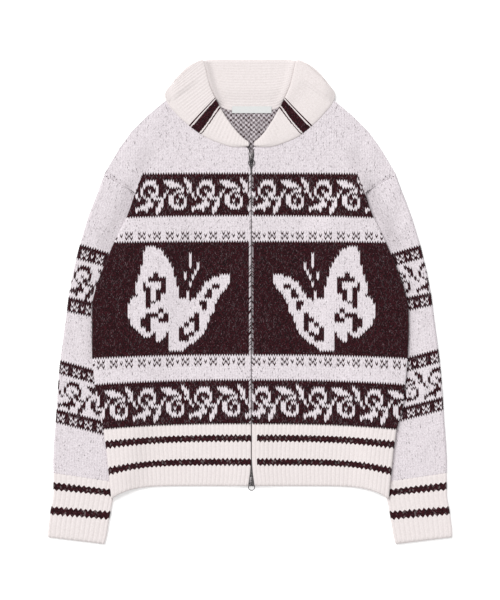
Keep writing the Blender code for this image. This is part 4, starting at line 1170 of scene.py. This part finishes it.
def set_bump(tree, shader, height, strength, distance):
    """Raise a shader's surface by a height."""
    bump = tree.nodes.new("ShaderNodeBump")
    set_inputs(bump, {"Strength": strength, "Distance": distance})
    tree.links.new(height, bump.inputs["Height"])
    tree.links.new(bump.outputs["Normal"], shader.inputs["Normal"])


def near_line(tree, value, width):
    """1 where a value is close to a whole number, and 0 beyond a width from it."""
    away = math_node(tree, "PINGPONG", value, 0.5)
    return math_node(tree, "SUBTRACT", 1.0, ramp(tree, away, width * 0.3, width))


def brushed_wool():
    """Brushed wool: loose fibres in all directions, and the soft tone that changes along the yarn."""
    group, given, result = new_group(
        "brushed_wool", [("Vector", "NodeSocketVector", None), ("Loft", "NodeSocketFloat", 1.0)],
        ["Height", "Tone", "Fleck"])
    vector = given.outputs["Vector"]
    fibre = noise(group, vector, 1800.0, 4.0, 0.7)
    strand = noise(group, vector, 480.0, 2.0, 0.6)
    height = times(group, plus(group, times(group, fibre, 0.6), strand), given.outputs["Loft"])
    group.links.new(height, result.inputs["Height"])
    group.links.new(strand, result.inputs["Tone"])
    group.links.new(ramp(group, noise(group, vector, 520.0, 2.0, 0.6), 0.63, 0.73), result.inputs["Fleck"])


def stitch_marks():
    """Where stitches meet: painted shade along the lines between wales and rows, and the small gaps at their
    corners.
    """
    group, given, result = new_group(
        "stitch_marks", [("Vector", "NodeSocketVector", None)], ["Crease", "Gap", "Ply"])
    vector = given.outputs["Vector"]
    split = group.nodes.new("ShaderNodeSeparateXYZ")
    group.links.new(vector, split.inputs[0])
    across, along = split.outputs[0], split.outputs[1]
    wale, row = near_line(group, across, 0.17), near_line(group, along, 0.2)
    middle = near_line(group, plus(group, across, 0.5), 0.1)
    # painted shade along the lines between stitches
    crease_shade_mask = plus(group, times(group, wale, 0.55), times(group, row, 0.3))
    crease_shade_mask = plus(group, crease_shade_mask, times(group, middle, 0.25))
    group.links.new(crease_shade_mask, result.inputs["Crease"])
    luck = group.nodes.new("ShaderNodeTexWhiteNoise")
    luck.noise_dimensions = "2D"
    corner = vector_node(group, "FLOOR", vector_node(group, "ADD", vector, (0.5, 0.5, 0.0)))
    group.links.new(corner, luck.inputs["Vector"])
    spot = times(group, near_line(group, across, 0.2), near_line(group, along, 0.32))
    gap = times(group, spot, ramp(group, luck.outputs["Value"], 0.62, 1.0))
    group.links.new(gap, result.inputs["Gap"])
    stretched = vector_node(group, "MULTIPLY", vector, (9.0, 1.3, 1.0))
    group.links.new(noise(group, stretched, 1.0, 3.0, 0.6), result.inputs["Ply"])


def new_material(name):
    """A new material, its node tree, its Principled shader and the place of its points on the object."""
    material = bpy.data.materials.new(name)
    material.use_nodes = True
    tree = material.node_tree
    place = tree.nodes.new("ShaderNodeTexCoord").outputs["Object"]
    return material, tree, tree.nodes["Principled BSDF"], place


def add_group(tree, name, vector):
    """A node of a shared group, fed with a vector."""
    node = tree.nodes.new("ShaderNodeGroup")
    node.node_tree = bpy.data.node_groups[name]
    tree.links.new(vector, node.inputs["Vector"])
    return node


def knit_material(name, look):
    """Two-colour knitting: the yarn attribute picks the colour of each stitch and holds some painted shade,
    and shade is painted along the lines where stitches meet.
    """
    material, tree, shader, place = new_material(name)
    knit_uv = tree.nodes.new("ShaderNodeUVMap")
    knit_uv.uv_map = "knit"
    yarn = tree.nodes.new("ShaderNodeAttribute")
    yarn.attribute_name = "yarn"
    wool = add_group(tree, "brushed_wool", place)
    wool.inputs["Loft"].default_value = look.loft
    marks = add_group(tree, "stitch_marks", knit_uv.outputs[0]).outputs
    tone = plus(tree, times(tree, wool.outputs["Tone"], 0.5), times(tree, marks["Ply"], 0.5))
    light = mix_colour(tree, ramp(tree, tone, 0.36, 0.6), look.shade, look.light)
    # painted shade where stitches meet
    light = mix_colour(tree, times(tree, marks["Crease"], look.creases), light, look.shade)
    light = mix_colour(tree, times(tree, marks["Gap"], look.gaps), light, look.deep)
    red = tuple(value * part for value, part in zip(look.deep, (2.4, 1.0, 1.25)))
    black = tuple(value * 0.3 for value in look.deep)
    dark = mix_colour(tree, ramp(tree, tone, 0.45, 0.58), black, red)
    dark = mix_colour(tree, times(tree, wool.outputs["Fleck"], 0.7), dark, look.fleck)
    tree.links.new(mix_colour(tree, yarn.outputs["Fac"], light, dark), shader.inputs["Base Color"])
    set_inputs(shader, {"Roughness": 0.95, "Specular IOR Level": 0.05, "Sheen Weight": 0.08,
                        "Sheen Roughness": 0.6})
    set_bump(tree, shader, wool.outputs["Height"], 0.7, 0.0007)
    return material


def metal_material():
    """Worn antique metal."""
    material, tree, shader, place = new_material("antique_metal")
    wear = ramp(tree, noise(tree, place, 700.0, 4.0, 0.6), 0.4, 0.65)
    tree.links.new(mix_colour(tree, wear, DARK_METAL, WORN_METAL), shader.inputs["Base Color"])
    tree.links.new(ramp(tree, wear, 0.0, 1.0, 0.28, 0.5), shader.inputs["Roughness"])
    shader.inputs["Metallic"].default_value = 1.0
    return material


def seam_material():
    """The dark yarn of the seams."""
    material, _, shader, _ = new_material("seam_yarn")
    set_inputs(shader, {"Base Color": SEAM_YARN, "Roughness": 0.9})
    return material


def woven_material(name, low, high, threads, roughness):
    """A fine plain weave, for the zip's tape and the label."""
    material, tree, shader, place = new_material(name)
    waves = []
    for direction in ("X", "Y"):
        wave = tree.nodes.new("ShaderNodeTexWave")
        wave.bands_direction = direction
        set_inputs(wave, {"Scale": threads, "Distortion": 0.4})
        tree.links.new(place, wave.inputs["Vector"])
        waves.append(wave.outputs["Fac"])
    weave = times(tree, *waves)
    tree.links.new(mix_colour(tree, weave, low, high), shader.inputs["Base Color"])
    shader.inputs["Roughness"].default_value = roughness
    set_bump(tree, shader, weave, 0.4, 0.0002)
    return material


# ---- hard pieces ----

def select_none():
    """Deselect everything, in object mode."""
    if bpy.context.object and bpy.context.object.mode != "OBJECT":
        bpy.ops.object.mode_set(mode="OBJECT")
    bpy.ops.object.select_all(action="DESELECT")


def select_only(*pieces):
    """Select some pieces alone, the last of them active."""
    select_none()
    for piece in pieces:
        piece.select_set(True)
    bpy.context.view_layer.objects.active = pieces[-1]


def rest_at_origin(piece):
    """Put the piece's place, turn and scale into its mesh."""
    select_only(piece)
    bpy.ops.object.transform_apply(location=True, rotation=True, scale=True)


def add_block(name, low, high, bevel):
    """A bevelled block between two corners, in millimetres."""
    select_none()
    bpy.ops.mesh.primitive_cube_add(size=1.0, location=(Vector(low) + Vector(high)) / 2 * MM)
    piece = bpy.context.object
    piece.name = name
    piece.scale = (Vector(high) - Vector(low)) * MM
    rest_at_origin(piece)
    bpy.ops.object.mode_set(mode="EDIT")
    bpy.ops.mesh.select_all(action="SELECT")
    bpy.ops.mesh.bevel(offset=bevel * MM, segments=2, affect="EDGES")
    bpy.ops.object.mode_set(mode="OBJECT")
    return piece


def zip_teeth(name, side, metal):
    """One side's row of teeth, each a small block that reaches between two of the other side's."""
    bottom = CHAIN_BOTTOM + (TOOTH_PITCH / 2 if side > 0 else 0.0)
    near, far = ZIP_X - side * TOOTH_NOSE, ZIP_X + side * TOOTH_TAIL
    tooth = add_block(name, (min(near, far), bottom, TOOTH_Z[0]),
                      (max(near, far), bottom + TOOTH_LENGTH, TOOTH_Z[1]), 0.25)
    array = tooth.modifiers.new("along_the_zip", "ARRAY")
    array.use_relative_offset = False
    array.use_constant_offset = True
    array.constant_offset_displace = (0.0, TOOTH_PITCH * MM, 0.0)
    array.count = int((CHAIN_TOP - bottom) / TOOTH_PITCH)
    bpy.context.view_layer.objects.active = tooth
    bpy.ops.object.modifier_apply(modifier=array.name)
    tooth.data.materials.append(metal)
    tooth.data.shade_smooth()
    return tooth


def slider(name, start_y, flip, metal):
    """A slider: two shaped plates on a post, and an arch for its ring."""
    half = SLIDER_WIDTH / 2
    end_y = start_y + SLIDER_LENGTH
    wide_end = start_y if flip else end_y
    plates = []
    for low, high in PLATES_Z:
        plate = add_block(name, (ZIP_X - half, start_y, low), (ZIP_X + half, end_y, high), 0.35)
        for vert in plate.data.vertices:
            away = abs(vert.co.y / MM - wide_end) / SLIDER_LENGTH
            vert.co.x = ZIP_X * MM + (vert.co.x - ZIP_X * MM) * (1.0 - SLIDER_TAPER * away)
        plates.append(plate)
    post_y = start_y + POST_FROM_END if flip else end_y - POST_FROM_END - POST_LENGTH
    post = add_block(name, (ZIP_X - POST_HALF, post_y, POST_Z[0]),
                     (ZIP_X + POST_HALF, post_y + POST_LENGTH, POST_Z[1]), 0.3)
    select_only(arch(name, start_y), post, *plates)
    bpy.ops.object.join()
    body = bpy.context.object
    body.name = name
    body.data.materials.clear()
    body.data.materials.append(metal)
    select_only(body)
    bpy.ops.object.shade_smooth_by_angle(angle=math.radians(40.0))
    return body


def arch(name, start_y):
    """The arch on a slider, bent from a wire."""
    line = bpy.data.curves.new(name + "_arch", "CURVE")
    line.dimensions = "3D"
    line.bevel_depth = ARCH_WIRE * MM
    line.bevel_resolution = 3
    line.use_fill_caps = True
    spline = line.splines.new("POLY")
    steps = 14
    spline.points.add(steps)
    for k, point in enumerate(spline.points):
        angle = math.pi * k / steps
        y = start_y + ARCH_MIDDLE - ARCH_HALF * math.cos(angle)
        z = ARCH_Z + ARCH_RISE * math.sin(angle) ** 0.6
        point.co = (ZIP_X * MM, y * MM, z * MM, 1.0)
    made = bpy.data.objects.new(name + "_arch", line)
    bpy.context.scene.collection.objects.link(made)
    select_only(made)
    bpy.ops.object.convert(target="MESH")
    return bpy.context.object


def pull_ring(name, slider_y, metal):
    """A round wire ring that lies flat below its hinge."""
    select_none()
    bpy.ops.mesh.primitive_torus_add(
        location=Vector((ZIP_X, slider_y + HINGE_ABOVE - RING_RADIUS, RING_Z)) * MM,
        major_radius=RING_RADIUS * MM, minor_radius=RING_WIRE * MM, major_segments=48, minor_segments=12)
    ring = bpy.context.object
    ring.name = name
    rest_at_origin(ring)
    ring.data.materials.append(metal)
    ring.data.shade_smooth()
    return ring


# ---- seam stitches ----

# The armhole seam from the shoulder's outline to the side of the body: shares of its length, each with the x
# or the y there.
SEAM_X = [(0.0, 241.0), (0.5, 215.5), (1.0, 190.6)]
SEAM_Y = [(0.0, 208.6), (0.5, 195.6), (1.0, 181.2)]
SEAM_LOOPS, SEAM_SCATTER, SEAM_ABOVE = 16, 13.0, 0.4


def seam_stitches(name, side, ground, yarn):
    """Small loops of dark yarn that show along an armhole seam."""
    points, faces = [], []
    for k in range(SEAM_LOOPS):
        share = (k + 0.5) / SEAM_LOOPS
        x, y = side * read_line(SEAM_X, share), read_line(SEAM_Y, share)
        turn = 3.0 * chance(k, 2.0)
        along = np.array([math.cos(turn), math.sin(turn), 0.0]) * (0.6 + 0.9 * chance(k, 1.0) ** 2)
        across = np.array([-along[1], along[0], 0.0]) * 0.75
        z = max(float(ground.at(np.array([x]), np.array([y]))[0]), SLEEVE_HEIGHT) + 0.5
        middle = np.array([x, y + SEAM_SCATTER * (chance(k, 3.0) - SEAM_ABOVE), z])
        start = len(points)
        points += [middle - along, middle + along, middle + across, middle - across,
                   middle + [0.0, 0.0, 0.5], middle - [0.0, 0.0, 0.4]]
        for a, b in ((0, 2), (2, 1), (1, 3), (3, 0)):
            faces += [(start + a, start + 4, start + b), (start + a, start + b, start + 5)]
    mesh = bpy.data.meshes.new(name)
    mesh.from_pydata([tuple(point * MM) for point in points], [], faces)
    return finish_cloth(name, mesh, yarn)


# ---- stage ----

WHITE = (1.0, 1.0, 1.0, 1.0)
SUN_FROM = Vector((-0.48, 0.52, 1.0))
LENS, SENSOR = 200.0, 36.0
VIEW_HEIGHT, VIEW_MIDDLE_Y = 0.990, 0.0029     # how much of the floor is seen, and around which place


def stage():
    """A plain pale floor, soft light and a camera straight above."""
    select_none()
    bpy.ops.mesh.primitive_plane_add(size=12.0, location=(0.0, 0.0, -0.0004))
    floor = bpy.context.object
    floor.name = "floor"
    paper, _, shader, _ = new_material("white_paper")
    set_inputs(shader, {"Base Color": (0.97, 0.97, 0.97, 1.0), "Roughness": 0.9,
                        "Emission Color": WHITE, "Emission Strength": 0.2})
    floor.data.materials.append(paper)
    world = bpy.data.worlds.new("soft_room")
    world.use_nodes = True
    set_inputs(world.node_tree.nodes["Background"], {"Color": WHITE, "Strength": 0.66})
    bpy.context.scene.world = world
    sun = bpy.data.lights.new("window", "SUN")
    sun.energy = 2.3
    sun.angle = math.radians(36.0)
    light = bpy.data.objects.new("window", sun)
    light.rotation_euler = (-SUN_FROM).to_track_quat("-Z", "Y").to_euler()
    lens = bpy.data.cameras.new("camera")
    lens.lens = LENS
    lens.sensor_width = SENSOR
    camera = bpy.data.objects.new("camera", lens)
    camera.location = (0.0, VIEW_MIDDLE_Y, VIEW_HEIGHT * LENS / SENSOR)
    for thing in (light, camera):
        bpy.context.scene.collection.objects.link(thing)
    bpy.context.scene.camera = camera
    bpy.context.scene.view_settings.view_transform = "Standard"


# ---- the cardigan ----

def dress():
    """Make every piece and tie it to its solid."""
    brushed_wool()
    stitch_marks()
    jacquard = knit_material("jacquard_knit", JACQUARD_LOOK)
    rib = knit_material("rib_knit", RIB_LOOK)
    label = woven_material("woven_label", (0.60, 0.61, 0.605), (0.74, 0.75, 0.745), 1400.0, 0.7)
    metal = metal_material()
    tape = woven_material("zip_tape", (0.02, 0.012, 0.014), (0.07, 0.05, 0.055), 900.0, 0.85)
    body_top = Ground(["front_left", "front_right", "hem_front_left", "hem_front_right"])
    back_low = Ground(["back_panel", "hem_back"], above=False)
    back_top = Ground(["back_panel", "hem_back"])
    made = {}
    for word, side in (("left", -1), ("right", 1)):
        made["front_" + word] = front("knit_front_" + word, side, body_top, jacquard)
        made["hem_front_" + word] = hem_front("rib_hem_front_" + word, side, body_top, rib)
        made["sleeve_" + word] = sleeve("knit_sleeve_" + word, side, jacquard)
        made["cuff_" + word] = cuff("rib_cuff_" + word, side, rib)
        made["collar_" + word] = leaf("rib_collar_" + word, side, body_top, rib)
    made["back_panel"] = back("knit_back", back_low, back_top, jacquard)
    made["hem_back"] = hem_back("rib_hem_back", back_low, back_top, rib)
    made["collar_back"] = back_collar("rib_collar_back", rib)
    for node, piece in made.items():
        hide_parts(node)
        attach(piece, "garment")
    seam_yarn = seam_material()
    for word, side in (("left", -1), ("right", 1)):
        stitches = seam_stitches("seam_stitches_" + word, side, body_top, seam_yarn)
        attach(stitches, "garment")
    for node in ("zip_tape_left", "zip_tape_right"):
        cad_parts[node].material_slots[0].material = tape
    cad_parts["neck_label"].material_slots[0].material = label
    for word, side in (("left", -1), ("right", 1)):
        teeth = zip_teeth("zip_teeth_" + word, side, metal)
        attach(teeth, "garment")
        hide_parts("zip_chain")
    for word, slider_y, flip in (("top", TOP_SLIDER_Y, False), ("bottom", BOTTOM_SLIDER_Y, True)):
        body = slider("zip_slider_" + word, slider_y, flip, metal)
        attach(body, "garment")
        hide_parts("slider_" + word)
        ring = pull_ring("zip_ring_" + word, slider_y, metal)
        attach(ring, "pull_" + word)
        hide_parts("pull_ring_" + word)


stage()
dress()
